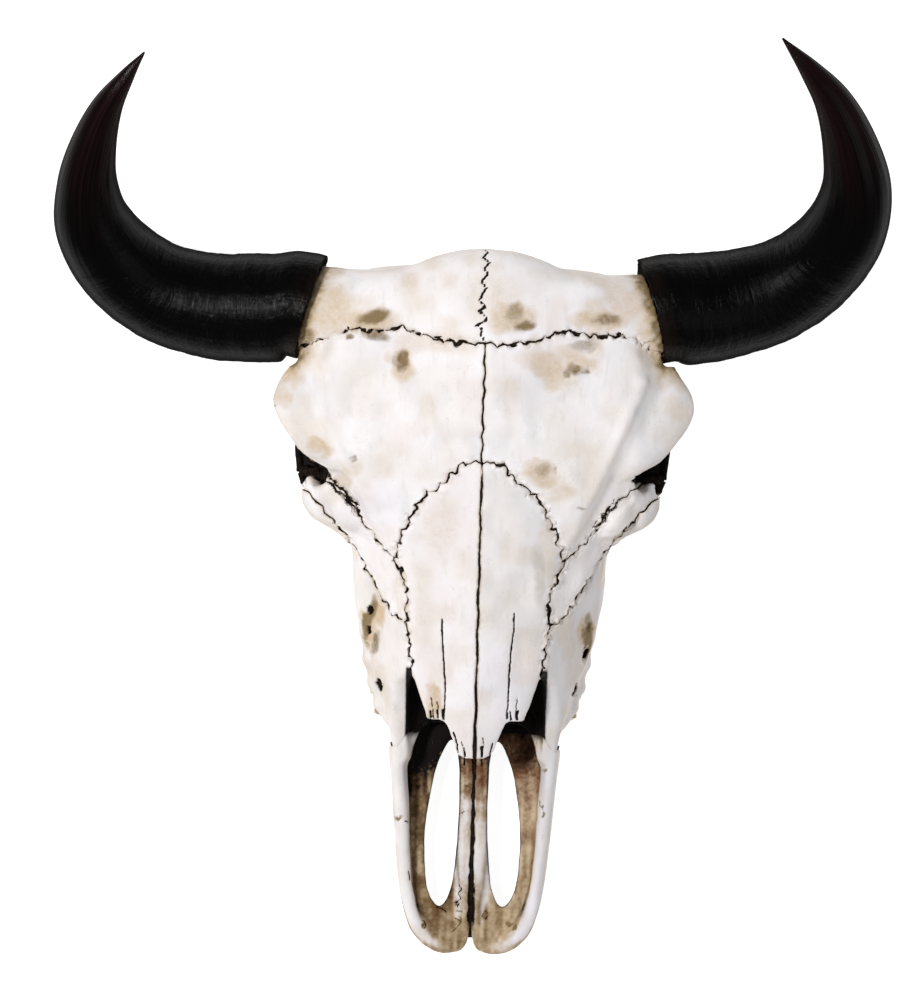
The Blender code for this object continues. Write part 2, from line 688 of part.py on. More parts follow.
def set_down(nodes):
    """Cuts the resting flats at one level and moves the part to its origin under the middle."""
    for obj in nodes:
        if min(v.co.z for v in obj.data.vertices) < 0:
            bm = bmesh.new()
            bmesh.ops.create_cube(bm, size=2 * FAR * MM)
            floor = link("below", bm)
            floor.data.transform(Matrix.Translation((0, 0, -FAR * MM)))
            combine(obj, "DIFFERENCE", [floor])
            keep_largest(obj)
    points = np.array([v.co for obj in nodes for v in obj.data.vertices])
    low, high = points.min(0), points.max(0)
    shift = Vector((-(low[0] + high[0]) / 2, -(low[1] + high[1]) / 2, -low[2]))
    for obj in nodes:
        obj.data.transform(Matrix.Translation(shift))


def main():
    for old in list(bpy.data.objects):
        bpy.data.objects.remove(old)
    nodes = bones(head_body())
    for side, s in SIDES:
        combine(nodes["maxilla_" + side], "UNION", tooth_row(s))
        keep_largest(nodes["maxilla_" + side])
        nodes["horn_" + side] = horn(side, s)
    set_down(list(nodes.values()))
    bone = material("bone", (0.80, 0.76, 0.69), 0.65)
    sheath = material("horn_black", (0.012, 0.010, 0.009), 0.35)
    group = bpy.data.collections.new("bison_skull")
    bpy.context.scene.collection.children.link(group)
    for name, obj in nodes.items():
        obj.name = name
        finish(obj, sheath if name.startswith("horn") else bone, group)


main()
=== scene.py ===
# Bison skull with both horn sheaths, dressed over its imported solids.
# Tables are in millimetres in the skull's own frame: x = 0 is the middle plane, +Y the back of
# the head, z = 0 the floor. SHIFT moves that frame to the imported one, which is in metres.

import math
import random

import bmesh
import bpy
import numpy as np
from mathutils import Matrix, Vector
from mathutils.bvhtree import BVHTree


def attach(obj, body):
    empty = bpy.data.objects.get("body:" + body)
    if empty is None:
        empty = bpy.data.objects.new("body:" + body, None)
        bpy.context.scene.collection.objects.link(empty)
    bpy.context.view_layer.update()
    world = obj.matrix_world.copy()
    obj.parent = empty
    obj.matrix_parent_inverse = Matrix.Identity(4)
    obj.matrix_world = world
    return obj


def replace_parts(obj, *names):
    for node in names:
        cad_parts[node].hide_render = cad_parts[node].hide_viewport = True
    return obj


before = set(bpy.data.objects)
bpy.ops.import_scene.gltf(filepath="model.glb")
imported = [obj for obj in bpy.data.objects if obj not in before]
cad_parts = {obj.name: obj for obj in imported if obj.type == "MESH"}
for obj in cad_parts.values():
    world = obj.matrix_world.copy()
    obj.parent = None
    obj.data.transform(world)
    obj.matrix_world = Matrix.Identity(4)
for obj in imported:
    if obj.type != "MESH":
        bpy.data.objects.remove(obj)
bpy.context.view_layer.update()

SHIFT = np.array((12.23, -72.17, 0.0))
SIDES = (("left", 1), ("right", -1))
BONES = ["cranium"] + [
    bone + "_" + side
    for bone in ("frontal", "nasal", "lacrimal", "zygomatic", "maxilla", "premaxilla")
    for side, _ in SIDES
]

# The camera's height, the height at which a pixel is PIXEL millimetres, and the height framed
CAMERA_HEIGHT = 4.15
SCALE_HEIGHT = 0.15
FRAMED_HEIGHT = 0.10
CAMERA_ROLL = math.radians(1.38)
SENSOR = 36
PIXEL = 0.775
WORLD_LIGHT = 0.28
FLOOR_GLOW = 0.90
FLOOR_REACH = 12.0

# Bone skins: finest voxel, faces wanted, how far a seam is felt, and how far the detail may lift
FINEST_SKIN = 1.0
SKIN_FACES = 88000
SEAM_SEARCH = 8.0
LIFT_RANGE = (-6.5, 5.5)

# Middle of the left eye socket and its hollow's half widths; painted shade is laid inside that hollow
EYE = (128, 118, 122)
EYE_REACH = (36, 37, 33)

# Filling under the seams: voxel, how near both bones have to be, and how far it lies below them
FILLING_VOXEL = 2.4
FILLING_SEARCH = 4.2
FILLING_DEPTH = 1.7

# Horn sheaths: centre (x out from the middle, y, z) and the diameter there, base to tip
HORN = {
    "right": (
        ((137, 225, 161), 83), ((174, 223, 155), 85), ((213, 224, 151), 82), ((252, 234, 154), 77),
        ((283, 255, 169), 71), ((302, 282, 194), 61), ((306, 311, 217), 48), ((301, 339, 239), 37),
        ((290, 367, 259), 25), ((274, 391, 273), 12), ((261, 408, 281), 1.6),
    ),
    "left": (
        ((130, 228, 161), 83), ((158, 230, 156), 87), ((193, 236, 151), 83), ((226, 247, 154), 78),
        ((253, 265, 169), 72), ((273, 291, 194), 65), ((280, 322, 217), 55), ((273, 353, 239), 44),
        ((259, 383, 259), 31), ((240, 406, 273), 18), ((217, 430, 281), 1.6),
    ),
}
# Depth for each width, radius of the seat, its turn, length of the ragged lip and of the straight root
HORN_DEPTH = 0.93
HORN_SEAT = 37.0
HORN_SKEW = math.radians(16.0)
HORN_LIP = 4.0
HORN_SEATED = 26
HORN_RINGS = 520
HORN_SIDES = 150

# Cheek teeth, front to back: length along the row and width across it
TEETH = ((16, 15), (19, 18), (20, 21), (27, 24), (31, 26), (33, 25))
TOOTH_ROW_FRONT = (73, -96)
TOOTH_ROW_BACK = (77, 48)
TOOTH_CUT = 16.5

# Cracks and furrows seen from above: points, width and depth
SLITS = (
    (((-28, -15), (-27.5, -32), (-26, -51), (-24.5, -71), (-25, -92)), 1.0, 2.0),
    (((28, -9), (28, -22), (26.5, -38), (25.5, -62), (25, -81), (24.5, -92)), 1.0, 2.0),
    (((-35, -77), (-34, -84), (-33, -96)), 0.7, 1.2),
    (((-31, -80), (-29.5, -86), (-30, -96)), 0.6, 1.0),
    (((32, -75), (31.5, -84), (32, -96)), 0.8, 1.4),
    (((-11, -111), (-9, -116), (-8, -124)), 0.7, 1.1),
    (((6, -108), (6.5, -114), (6, -124)), 0.7, 1.1),
    (((-36, -88), (-35.5, -93), (-35, -102)), 1.3, 2.5),
    (((-31, -87), (-30, -92), (-30, -102)), 1.0, 2.5),
    (((-26, -87), (-25.5, -92), (-25, -102)), 1.5, 2.5),
    (((33, -86), (32.5, -91), (33, -102)), 1.4, 2.5),
    (((27, -87), (27.5, -92), (28, -102)), 1.0, 2.5),
    (((-9, -117), (-8, -122), (-8, -133)), 1.2, 2.5),
    (((5, -115), (5.5, -121), (6, -133)), 1.1, 2.5),
    (((0, -108), (-0.5, -117), (-0.5, -130)), 1.7, 2.0),
    (((14, -112), (12.5, -119), (12, -126)), 1.0, 1.6),
    (((-17, -104), (-14.5, -112), (-13.5, -120)), 1.0, 1.6),
    (((-10.5, -229.2), (-7.9, -233.2), (-10.7, -236.3), (-8.4, -239.7), (-12, -243.9), (-8.6, -245.8)),
     0.55, 0.8),
    (((-13.2, -243.1), (-9.5, -243.8), (-10.9, -246.9)), 0.6, 0.8),
    (((-11.9, -256.1), (-8.3, -258.5), (-11.1, -263.2), (-14.3, -266)), 0.6, 0.8),
    (((-27, -247.3), (-21.2, -249.8), (-19.1, -252.6)), 0.9, 0.9),
    (((-38.3, -257.8), (-35.7, -259.1), (-34.8, -262.4), (-37.6, -263.9), (-38.5, -260.8)), 0.5, 0.6),
    (((-11.8, -172.5), (-9.2, -171.6), (-7.2, -170.3)), 0.6, 0.8),
    (((1.7, -227.2), (2.9, -235.4), (2, -245.6)), 0.5, 0.6),
    (((12.4, -249), (14, -253.4), (12, -256.6)), 0.6, 0.6),
    (((-54.5, -177.6), (-49.4, -179.9)), 0.8, 0.8),
    (((-50.1, -218.7), (-49.1, -225.4)), 0.7, 0.8),
    (((52.5, -159.1), (52.2, -162.8), (55.1, -166.4)), 0.6, 0.8),
)
CROWN_LINE = (
    (-2, 274), (0, 269), (-3, 265), (2, 261), (-2, 256), (1, 252), (-4, 246), (0, 241), (-3, 236),
    (-5, 231), (0, 226), (-6, 223), (-1, 220), (1, 216), (-7, 212), (-2, 209), (-4, 205), (0, 199),
)

# Stains on the upper side, with two ovals of painted shade marked below: x, y, reach across, reach along,
# turn in degrees, strength
TAN = (
    (-90, 214, 26, 13, 0, 0.75), (-118, 222, 20, 24, 10, 0.62), (-137, 205, 12, 14, 0, 0.8),
    (-63, 181, 11, 15, 0, 0.7), (48, 182, 24, 15, -35, 0.62), (72, 187, 20, 11, -20, 0.55),
    (88, 219, 26, 10, 0, 0.7), (22, 219, 20, 12, 0, 0.7), (108, 232, 22, 14, -30, 0.5),
    (45, 100, 17, 10, -10, 0.65), (62, 86, 12, 12, 0, 0.4), (-127, 115, 12, 9, 0, 0.75),
    (-112, 86, 10, 24, -38, 0.5), (-62, 2, 6, 20, 5, 0.6), (-33, -77, 9, 20, 0, 0.75),
    (-84, -20, 10, 26, -18, 0.9), (87, -28, 8, 24, 6, 0.8), (70, -30, 9, 40, 8, 0.3),
    (-77, -68, 8, 12, 0, 0.5), (-160, 152, 9, 10, 0, 0.45), (150, 150, 10, 14, 0, 0.35),
    # The oval at x 52, y 40 is painted shade along the nasal's +x edge.
    (-30, 60, 16, 30, 0, 0.22), (52, 40, 8, 34, 6, 0.3), (0, 236, 26, 22, 0, 0.25),
)
OLIVE = (
    (-87, 217, 14, 6.5, 12, 1.0), (-85, 202, 12, 4.5, -8, 0.8), (-63, 183, 5.5, 8, 0, 1.0),
    (-138, 203, 7, 7, 0, 0.75), (31, 212, 9, 4.5, 0, 0.9), (22, 223, 8, 7, 0, 0.5),
    (92, 219, 12, 5, 6, 0.75), (69, 181, 7, 5, -20, 0.6), (76, 198, 12, 4, 0, 0.5),
    (-86, -17, 4.5, 20, -16, 1.0), (-80, -36, 4, 12, -20, 0.8), (87, -30, 4.5, 14, 6, 1.0),
    # The oval at x 45, y 22 is painted shade along the nasal's +x edge.
    (48, 102, 8, 5, 0, 0.4), (88, -14, 3, 7, 0, 0.7), (45, 22, 5, 26, 4, 0.28),
)
# Small holes and pits: x, y, radius across, radius along, depth, darkness. Above 0.75 darkness the hole is
# painted near-black as its shade; below that it is an olive stain.
PITS = (
    (-86, -10, 1.7, 2.3, 4.5, 1.0), (-86.5, -26.5, 2.0, 2.9, 5.0, 1.0), (-77.5, -71, 3.0, 4.6, 6.5, 1.0),
    (88.5, -20, 2.6, 2.6, 2.5, 0.7), (86.0, -41, 2.4, 3.0, 5.0, 1.0), (79.5, -71, 1.8, 5.0, 4.5, 1.0),
    (-63, 183, 5.0, 7.0, 2.6, 0.35), (71, 180, 3.0, 2.0, 1.6, 0.6), (64, 176, 2.6, 3.0, 1.4, 0.45),
    (78, 179, 3.4, 1.6, 1.2, 0.5), (-99, 108, 2.0, 2.4, 1.0, 0.4), (79, 74, 3.0, 1.2, 0.8, 0.35),
    (57, 103, 1.6, 2.4, 0.7, 0.3), (-104, 201, 2.6, 1.8, 1.2, 0.6), (-164, 148, 2.2, 1.6, 0.8, 0.6),
    (-12, -244, 1.6, 1.4, 1.2, 0.74), (-10, -250, 2.2, 1.4, 1.4, 0.74), (-9, -257, 1.4, 2.0, 1.2, 0.74),
    (-24, -243, 4.0, 1.6, 1.2, 0.74), (-36, -261, 1.8, 1.6, 1.2, 0.74), (-15, -262, 2.2, 1.6, 1.2, 0.6),
    (13, -252, 2.6, 4.6, 1.2, 0.55), (7, -259, 1.4, 1.4, 1.0, 0.74), (31, -259, 2.6, 1.8, 1.2, 0.7),
    (36, -262, 1.6, 2.2, 1.2, 0.7), (-6, -150, 2.0, 1.2, 1.0, 0.74), (-17, -234, 1.8, 1.2, 1.0, 0.7),
    (54, -164, 1.2, 1.8, 1.0, 0.72), (55, -170, 1.0, 1.4, 0.8, 0.7), (-60, -176, 3.2, 1.4, 1.2, 0.74),
    (-49, -176, 1.4, 3.6, 1.0, 0.74), (-55, -254, 1.6, 1.4, 0.8, 0.5), (56, -135, 1.4, 1.6, 0.8, 0.6),
)
# Worn patches: x, y, reach across and along
WORN_PATCHES = ((70, 182, 18, 12), (-84, 206, 18, 8), (25, 216, 12, 10))
# Raised bars of the tear bones, between their seams
TEAR_BARS = (
    ((-139, 97), (-128, 83), (-116, 66), (-103, 45), (-94, 25), (-85, 6)),
    ((133, 95), (121, 83), (108, 69), (97, 53), (88, 34), (79, 14)),
)
# Outlines of the open eye sockets as seen from above; inside them near-black is laid, mostly painted shade
# and partly a dark stain
SOCKETS = {
    "right": (
        (-154, 123), (-143, 114), (-132, 107), (-124, 102),
        (-125, 93), (-135, 92), (-141, 87), (-154, 87),
    ),
    "left": (
        (155, 127), (142, 121), (130, 113), (119, 108),
        (117, 95), (134, 94), (137, 86), (155, 85),
    ),
}
# The muzzle's low floor, by y: how dark, rusty, olive and tan it is on the right and the left. The dark share
# is painted shade, deepest at the back under the nasals; rust, olive and tan are stains.
MUZZLE_Y = (-285, -262, -240, -200, -165, -140, -115, -95, -60)
MUZZLE = {
    "right": (
        (0, 0.04, 0.16, 0.14, 0.28, 0.70, 1.2, 1.6, 1.6),
        (0.1, 0.15, 0.45, 0.18, 0.4, 0.8, 0.6, 0.4, 0.4),
        (0.4, 0.55, 1.0, 0.8, 0.9, 0.9, 0.8, 0.7, 0.7),
        (1.2, 1.4, 1.5, 1.5, 1.5, 1.5, 1.5, 1.5, 1.5),
    ),
    "left": (
        (0, 0, 0, 0, 0.03, 0.10, 0.35, 1.0, 1.6),
        (0.1, 0.1, 0.15, 0.3, 0.45, 0.95, 1.3, 1.2, 0.9),
        (0.2, 0.3, 0.35, 0.25, 0.10, 0.2, 0.2, 0.3, 0.3),
        (1.0, 1.2, 1.3, 1.5, 1.5, 1.5, 1.5, 1.5, 1.5),
    ),
}
# The two inner rods of the muzzle, in the same way, the dark share again painted shade
RODS = (
    (0.05, 0.1, 0.05, 0, 0.02, 0.12, 0.25, 0.6, 0.6),
    (0.1, 0.2, 0.1, 0, 0.2, 0.85, 1.2, 1.2, 1),
    (0.2, 0.3, 0.15, 0, 0.1, 0.25, 0.3, 0.5, 0.5),
    (0.8, 0.9, 0.4, 0.2, 0.5, 1.2, 1.4, 1.4, 1.4),
)
# Ridges and hollows of the forehead and cheeks: points, half width and height
RIDGES = (
    (((-138, 180), (-124, 150), (-112, 122), (-97, 94), (-82, 66), (-70, 42)), 7, 2.6),
    (((122, 172), (110, 142), (97, 110), (84, 80), (68, 46)), 7, 2.6),
    (((-140, 112), (-126, 104), (-118, 98)), 5, 1.2),
    (((-132, 88), (-112, 66), (-92, 40), (-72, 10)), 6, 1.6),
    (((132, 88), (112, 64), (92, 38), (72, 8)), 6, 1.6),
    (((-118, 205), (-96, 196), (-70, 190), (-48, 178)), 9, 1.0),
    (((88, 194), (72, 178), (56, 160)), 8, 1.2),
    (((-152, 172), (-142, 148), (-130, 120), (-116, 96), (-100, 72)), 12, -3.4),
    (((138, 166), (126, 140), (113, 112), (100, 88), (86, 64)), 12, -3.4),
    (((-58, 190), (-40, 150), (-36, 120)), 16, -0.8),
    (((52, 190), (40, 150), (36, 120)), 16, -0.8),
    (((0, 95), (0, 20), (0, -60)), 14, 0.9),
)


# Camera, floor and light

def photo_camera():
    """Straight above the skull, turned a little, at the photograph's scale and framing."""
    roll = CAMERA_ROLL
    away = CAMERA_HEIGHT - SCALE_HEIGHT
    reach = PIXEL * (CAMERA_HEIGHT - FRAMED_HEIGHT) / away / 1000
    middle = Vector((-(478.5 - 461) * reach, 100 * reach))
    data = bpy.data.cameras.new("photo_camera")
    data.sensor_fit = "AUTO"
    data.sensor_width = SENSOR
    data.lens = SENSOR * away / PIXEL
    data.clip_end = 20
    camera = placed("photo_camera", data)
    x = middle.dot(Vector((math.cos(roll), -math.sin(roll)))) + SHIFT[0] / 1000
    y = middle.dot(Vector((math.sin(roll), math.cos(roll)))) + SHIFT[1] / 1000
    camera.location = (x, y, CAMERA_HEIGHT)
    camera.rotation_euler = (0, 0, roll)
    bpy.context.scene.camera = camera


def soft_box(name, place, aim, power, size, tint=(1, 1, 1)):
    data = bpy.data.lights.new(name, "AREA")
    data.energy = power
    data.shape = "RECTANGLE"
    data.size, data.size_y = size
    data.color = tint
    light = placed(name, data)
    light.location = place
    light.rotation_euler = (Vector(aim) - Vector(place)).to_track_quat("-Z", "Y").to_euler()


# Materials: one wrapper for sockets, and one method for every other node

class Value:
    """A node's output on which Python's arithmetic adds Math nodes."""

    def __init__(self, recipe, socket):
        self.recipe = recipe
        self.socket = socket

    def math(self, operation, *others, clamp=False):
        return self.recipe.node(
            "ShaderNodeMath", {"operation": operation, "use_clamp": clamp}, dict(enumerate((self, *others)))
        )

    def __add__(self, other):
        return self.math("ADD", other)

    def __sub__(self, other):
        return self.math("SUBTRACT", other)

    def __rsub__(self, other):
        return self.recipe.node("ShaderNodeMath", {"operation": "SUBTRACT"}, {0: other, 1: self})

    def __mul__(self, other):
        return self.math("MULTIPLY", other)

    def __truediv__(self, other):
        return self.math("DIVIDE", other)

    __radd__ = __add__
    __rmul__ = __mul__

    def held(self):
        """The same value, kept from 0 to 1."""
        return self.math("ADD", 0.0, clamp=True)

    def step(self, low, high):
        """0 below low and 1 above high, with a soft turn between them. low may be above high."""
        return self.recipe.node(
            "ShaderNodeMapRange", {"interpolation_type": "SMOOTHSTEP"}, {"Value": self, 1: low, 2: high}
        )


class Recipe:
    """A node tree that is being written."""

    def __init__(self, tree):
        self.tree = tree
        self.colour = None

    def node(self, kind, settings=None, inputs=None, output=0):
        """Adds a node, sets its settings, fills its sockets and gives one of its outputs."""
        made = self.tree.nodes.new(kind)
        for name, setting in (settings or {}).items():
            setattr(made, name, setting)
        for name, given in (inputs or {}).items():
            socket = made.inputs[name]
            if isinstance(given, Value):
                self.tree.links.new(given.socket, socket)
            else:
                socket.default_value = given
        return Value(self, made.outputs[output])

    def noise(self, place, scale, detail=3.0, rough=0.5, twist=0.0):
        return self.node(
            "ShaderNodeTexNoise", {},
            {"Vector": place, "Scale": scale, "Detail": detail, "Roughness": rough, "Distortion": twist},
        )

    def cells(self, place, scale):
        return self.node("ShaderNodeTexVoronoi", {"feature": "F1"}, {"Vector": place, "Scale": scale})

    def mix(self, share, first, second, blend="MIX"):
        """Two colours mixed."""
        def colour(c):
            return c if isinstance(c, Value) else (*c, 1)
        settings = {"data_type": "RGBA", "blend_type": blend, "clamp_factor": True}
        return self.node("ShaderNodeMix", settings, {0: share, 6: colour(first), 7: colour(second)}, 2)

    def lay(self, share, tint):
        """Lays a tint over the colour so far."""
        self.colour = self.mix(share, self.colour, tint)

    def field(self, name):
        """A number that the mesh carries at its points."""
        return self.node("ShaderNodeAttribute", {"attribute_name": name}, {}, "Fac")

    def place(self):
        """Object coordinates."""
        return self.node("ShaderNodeTexCoord", {}, {}, "Object")

    def stretched(self, size, place=None):
        """A place, or else the object coordinates, drawn out by a different amount along each axis."""
        return self.node("ShaderNodeMapping", {}, {"Vector": place or self.place(), "Scale": size})


def new_finish(name):
    """A material and the recipe for its tree, with a Principled shader already wired."""
    made = bpy.data.materials.new(name)
    made.use_nodes = True
    made.node_tree.nodes.clear()
    recipe = Recipe(made.node_tree)
    shader = made.node_tree.nodes.new("ShaderNodeBsdfPrincipled")
    out = made.node_tree.nodes.new("ShaderNodeOutputMaterial")
    made.node_tree.links.new(shader.outputs[0], out.inputs["Surface"])
    return made, recipe, shader


def wire(recipe, shader, **sockets):
    """Links the recipe's colour and other values to the shader, or writes plain numbers into it."""
    names = {"roughness": "Roughness", "normal": "Normal", "level": "Specular IOR Level"}
    recipe.tree.links.new(recipe.colour.socket, shader.inputs["Base Color"])
    for name, given in sockets.items():
        socket = shader.inputs[names[name]]
        if isinstance(given, Value):
            recipe.tree.links.new(given.socket, socket)
        else:
            socket.default_value = given


def bone_finish():
    """Dry cream-white bone: cloudy, faintly streaked, stained near pits, seams and horn stumps, with painted
    shade laid in its hollows, holes, eye sockets and muzzle, and grey that is partly painted shade on the
    sides away from the key light.
    """
    made, r, shader = new_finish("dry_bone")
    place = r.place()
    along = r.stretched((1.0, 0.12, 1.0))
    clouds = r.noise(place, 26, 3, 0.55, 0.4)
    wide = r.noise(place, 9, 2, 0.5, 0.6)
    streaks = r.noise(along, 160, 4, 0.6, 0.2)
    broken = r.noise(place, 90, 4, 0.65, 0.8)
    fine = r.noise(place, 420, 3, 0.6)
    ragged = (broken - 0.5) * 0.9 + (fine - 0.5) * 0.5
    cool = r.field("cool")
    r.colour = r.mix(clouds.step(0.35, 0.68), (0.91, 0.865, 0.845), (0.965, 0.935, 0.945))
    r.lay(wide.step(0.50, 0.72) * 0.6, (0.86, 0.82, 0.88))
    r.lay(wide.step(0.50, 0.32) * 0.4, (0.92, 0.855, 0.83))
    # Grey: partly the bone's tone, partly painted shade on the sides away from the key light.
    r.lay(cool.math("MAXIMUM", 0.0) * (0.6 + clouds * 0.5), (0.58, 0.575, 0.60))
    r.lay(cool.math("MULTIPLY", -1.0, clamp=True), (0.94, 0.86, 0.89))
    r.lay(streaks.step(0.52, 0.72) * 0.24, (0.66, 0.61, 0.55))
    mottle = 1.10 + ragged * 1.7
    # Tan, olive and rust: stains, and painted shade in hollows and on sloping and downward faces.
    tan = (r.field("tan") * mottle).held()
    r.lay(tan * 0.82, (0.60, 0.425, 0.22))
    olive = (r.field("olive") * mottle).held()
    r.lay(olive * 0.9, (0.205, 0.138, 0.055))
    rust = (r.field("rust") * (0.9 + ragged * 2.6)).held()
    r.lay(rust * 0.90, (0.165, 0.055, 0.018))
    seam = r.field("seam")
    tight = r.field("tight")
    halo = (seam + ragged * 2.0).step(3.0, 0.6) * (0.10 + tight * 0.34)
    r.lay(halo, (0.46, 0.34, 0.21))
    width = tight * (0.56 + ragged * 0.85) + (tight - 1.0) * 0.4
    line = (seam - width).step(0.30, -0.12)
    crack = (r.field("crack") + ragged * 0.45).step(0.42, 0.66)
    r.lay(crack, (0.012, 0.007, 0.005))
    # Near-black: painted shade in hollows, holes, eye sockets, the muzzle and inside the nose.
    dark = (r.field("dark") * (1.15 + ragged * 1.6)).held()
    r.lay(dark, (0.006, 0.0035, 0.003))
    pores = r.cells(place, 520).step(0.20, 0.08) * r.noise(place, 60, 2).step(0.52, 0.66)
    r.lay(pores * 0.5, (0.36, 0.28, 0.19))
    r.lay(line * 0.98, (0.012, 0.007, 0.006))
    height = fine * 0.25 + broken * 0.35 + streaks * 0.45 - pores * 0.9 - line * 0.8 - crack * 0.8
    normal = r.node("ShaderNodeBump", {}, {"Strength": 0.45, "Distance": 0.0009, "Height": height})
    rough = 0.50 + (clouds * 0.16) + (tan * 0.12)
    wire(r, shader, roughness=rough, normal=normal, level=0.10)
    return made


def gap_shade_finish():
    """Near-black and dry: painted shade for the strips under the seams and the muzzle's middle gap, where the
    gaps fall dark.
    """
    made, r, shader = new_finish("seam_gap_shade")
    crumbs = r.noise(r.place(), 300, 3, 0.6)
    r.colour = r.mix(crumbs.step(0.4, 0.7), (0.006, 0.004, 0.003), (0.030, 0.018, 0.012))
    wire(r, shader, roughness=0.9, level=0.1)
    return made


def sheath_finish():
    """Near-black horn: glossy, finely wrinkled across near the base, brownish and smooth at the tip."""
    made, r, shader = new_finish("horn_sheath")
    share = r.field("share")
    lie = r.node("ShaderNodeAttribute", {"attribute_name": "lie"}, {}, "Vector")
    wrinkles = r.noise(r.stretched((420, 9, 9), lie), 1.0, 4, 0.62, 0.6)
    grain = r.noise(r.stretched((7, 30, 30), lie), 1.0, 4, 0.6, 0.3)
    patches = r.noise(r.place(), 30, 3, 0.6, 0.5)
    near = share.step(0.62, 0.30)
    out = r.node("ShaderNodeSeparateXYZ", {}, {0: r.node("ShaderNodeTexCoord", {}, {}, "Normal")}, 2)
    worn = out.step(0.62, 0.15)
    r.colour = r.mix(grain.step(0.45, 0.8) * 0.5, (0.0006, 0.0005, 0.0005), (0.002, 0.0015, 0.0015))
    r.lay(share.step(0.50, 0.92) * grain.step(0.36, 0.62) * 0.8, (0.016, 0.004, 0.005))
    r.lay(wrinkles.step(0.60, 0.78) * near * 0.30, (0.010, 0.009, 0.008))
    rim = share.step(0.035, 0.004) * patches.step(0.40, 0.60)
    r.lay(rim * 0.25, (0.024, 0.012, 0.007))
    height = wrinkles * near * 1.0 + grain * 0.35
    normal = r.node("ShaderNodeBump", {}, {"Strength": 0.75, "Distance": 0.0009, "Height": height})
    rough = 0.17 + near * 0.03 + wrinkles * near * 0.10 + patches * 0.05 + worn * 0.75
    wire(r, shader, roughness=rough, normal=normal, level=0.075)
    return made


def tooth_finish():
    """Worn cheek tooth: cream enamel, brown cement near the gum line and in the folds."""
    made, r, shader = new_finish("tooth_enamel")
    upright = r.stretched((1.0, 1.0, 0.14))
    streaks = r.noise(upright, 420, 4, 0.6, 0.3)
    patches = r.noise(r.place(), 120, 3, 0.6, 0.5)
    r.colour = r.mix(patches.step(0.35, 0.65), (0.74, 0.65, 0.50), (0.84, 0.78, 0.67))
    neck = (r.field("neck") + (patches - 0.5) * 0.6).step(0.35, 0.95)
    r.lay(neck * 0.8, (0.42, 0.28, 0.14))
    fold = (r.field("fold") + (streaks - 0.5) * 0.5).step(0.30, 0.9)
    r.lay(fold * 0.9, (0.10, 0.055, 0.025))
    r.lay(streaks.step(0.55, 0.75) * 0.35, (0.52, 0.38, 0.22))
    height = streaks * 0.6 + patches * 0.3
    normal = r.node("ShaderNodeBump", {}, {"Strength": 0.4, "Distance": 0.0006, "Height": height})
    wire(r, shader, roughness=0.34 + fold * 0.3, normal=normal)
    return made


def floor_finish():
    """A plain white sweep that stays white under the skull's soft shadow."""
    made, r, shader = new_finish("white_floor")
    cloud = r.noise(r.place(), 0.8, 2)
    r.colour = r.mix(cloud, (0.43, 0.43, 0.43), (0.45, 0.45, 0.45))
    wire(r, shader, roughness=0.9, level=0.1)
    shader.inputs["Emission Color"].default_value = (1, 1, 1, 1)
    shader.inputs["Emission Strength"].default_value = FLOOR_GLOW
    return made


# Shared shapes and measures

def smooth_path(points, count):
    """Points on a smooth curve that passes through the given ones."""
    given = np.array(points, float)
    spans = len(given) - 1
    found = []
    for step in range(count):
        place = step * spans / (count - 1)
        i = min(int(place), spans - 1)
        t = place - i
        p1, p2 = given[i], given[i + 1]
        p0 = given[i - 1] if i else 2 * p1 - p2
        p3 = given[i + 2] if i + 2 <= spans else 2 * p2 - p1
        found.append(
            0.5 * (2 * p1 + (p2 - p0) * t + (2 * p0 - 5 * p1 + 4 * p2 - p3) * t * t
                   + (3 * p1 - p0 - 3 * p2 + p3) * t ** 3)
        )
    return np.array(found)


def placed(name, data):
    """A new object in the scene."""
    obj = bpy.data.objects.new(name, data)
    bpy.context.scene.collection.objects.link(obj)
    return obj


def mesh_of(bm, name):
    """What was built in bm, as a new mesh."""
    mesh = bpy.data.meshes.new(name)
    bm.to_mesh(mesh)
    bm.free()
    return mesh


def cover(field, value):
    """Raises the field to the value wherever that is higher."""
    np.maximum(field, value, out=field)


def ramp(value, low, high):
    """0 at low and 1 at high, with a soft turn. low may be above high."""
    t = np.clip((value - low) / (high - low), 0, 1)
    return t * t * (3 - 2 * t)


def grain(points, size, seed):
    """Smooth noise from -1 to 1 that changes over about size millimetres."""
    p = points / size + seed * 13.7
    cell = np.floor(p).astype(np.int64)
    f = p - cell
    weight = f * f * f * (f * (f * 6 - 15) + 10)
    total = np.zeros(len(points))
    for corner in range(8):
        bits = np.array((corner & 1, corner >> 1 & 1, corner >> 2 & 1))
        c = cell + bits
        h = (c[:, 0] * 73856093) ^ (c[:, 1] * 19349663) ^ (c[:, 2] * 83492791) ^ (seed * 40503)
        h = ((h ^ (h >> 13)) * 1274126177) & 0x7FFFFFFF
        h = ((h ^ (h >> 15)) * 668265263) & 0x7FFFFFFF
        total += (h / 0x3FFFFFFF - 1) * np.prod(np.where(bits, weight, 1 - weight), axis=1)
    return total


def off_line(points, line, reach):
    """How far points are from a broken line seen from above, up to reach."""
    line = np.array(line, float)
    found = np.full(len(points), float(reach))
    low, high = line.min(0) - reach, line.max(0) + reach
    near = np.flatnonzero(np.all((points[:, :2] > low) & (points[:, :2] < high), axis=1))
    if len(near) == 0:
        return found
    p = points[near, :2]
    best = np.full(len(near), float(reach))
    for a, b in zip(line, line[1:]):
        d = b - a
        t = np.clip(((p - a) @ d) / max(d @ d, 1e-9), 0, 1)
        best = np.minimum(best, np.linalg.norm(p - a - t[:, None] * d, axis=1))
    found[near] = best
    return found


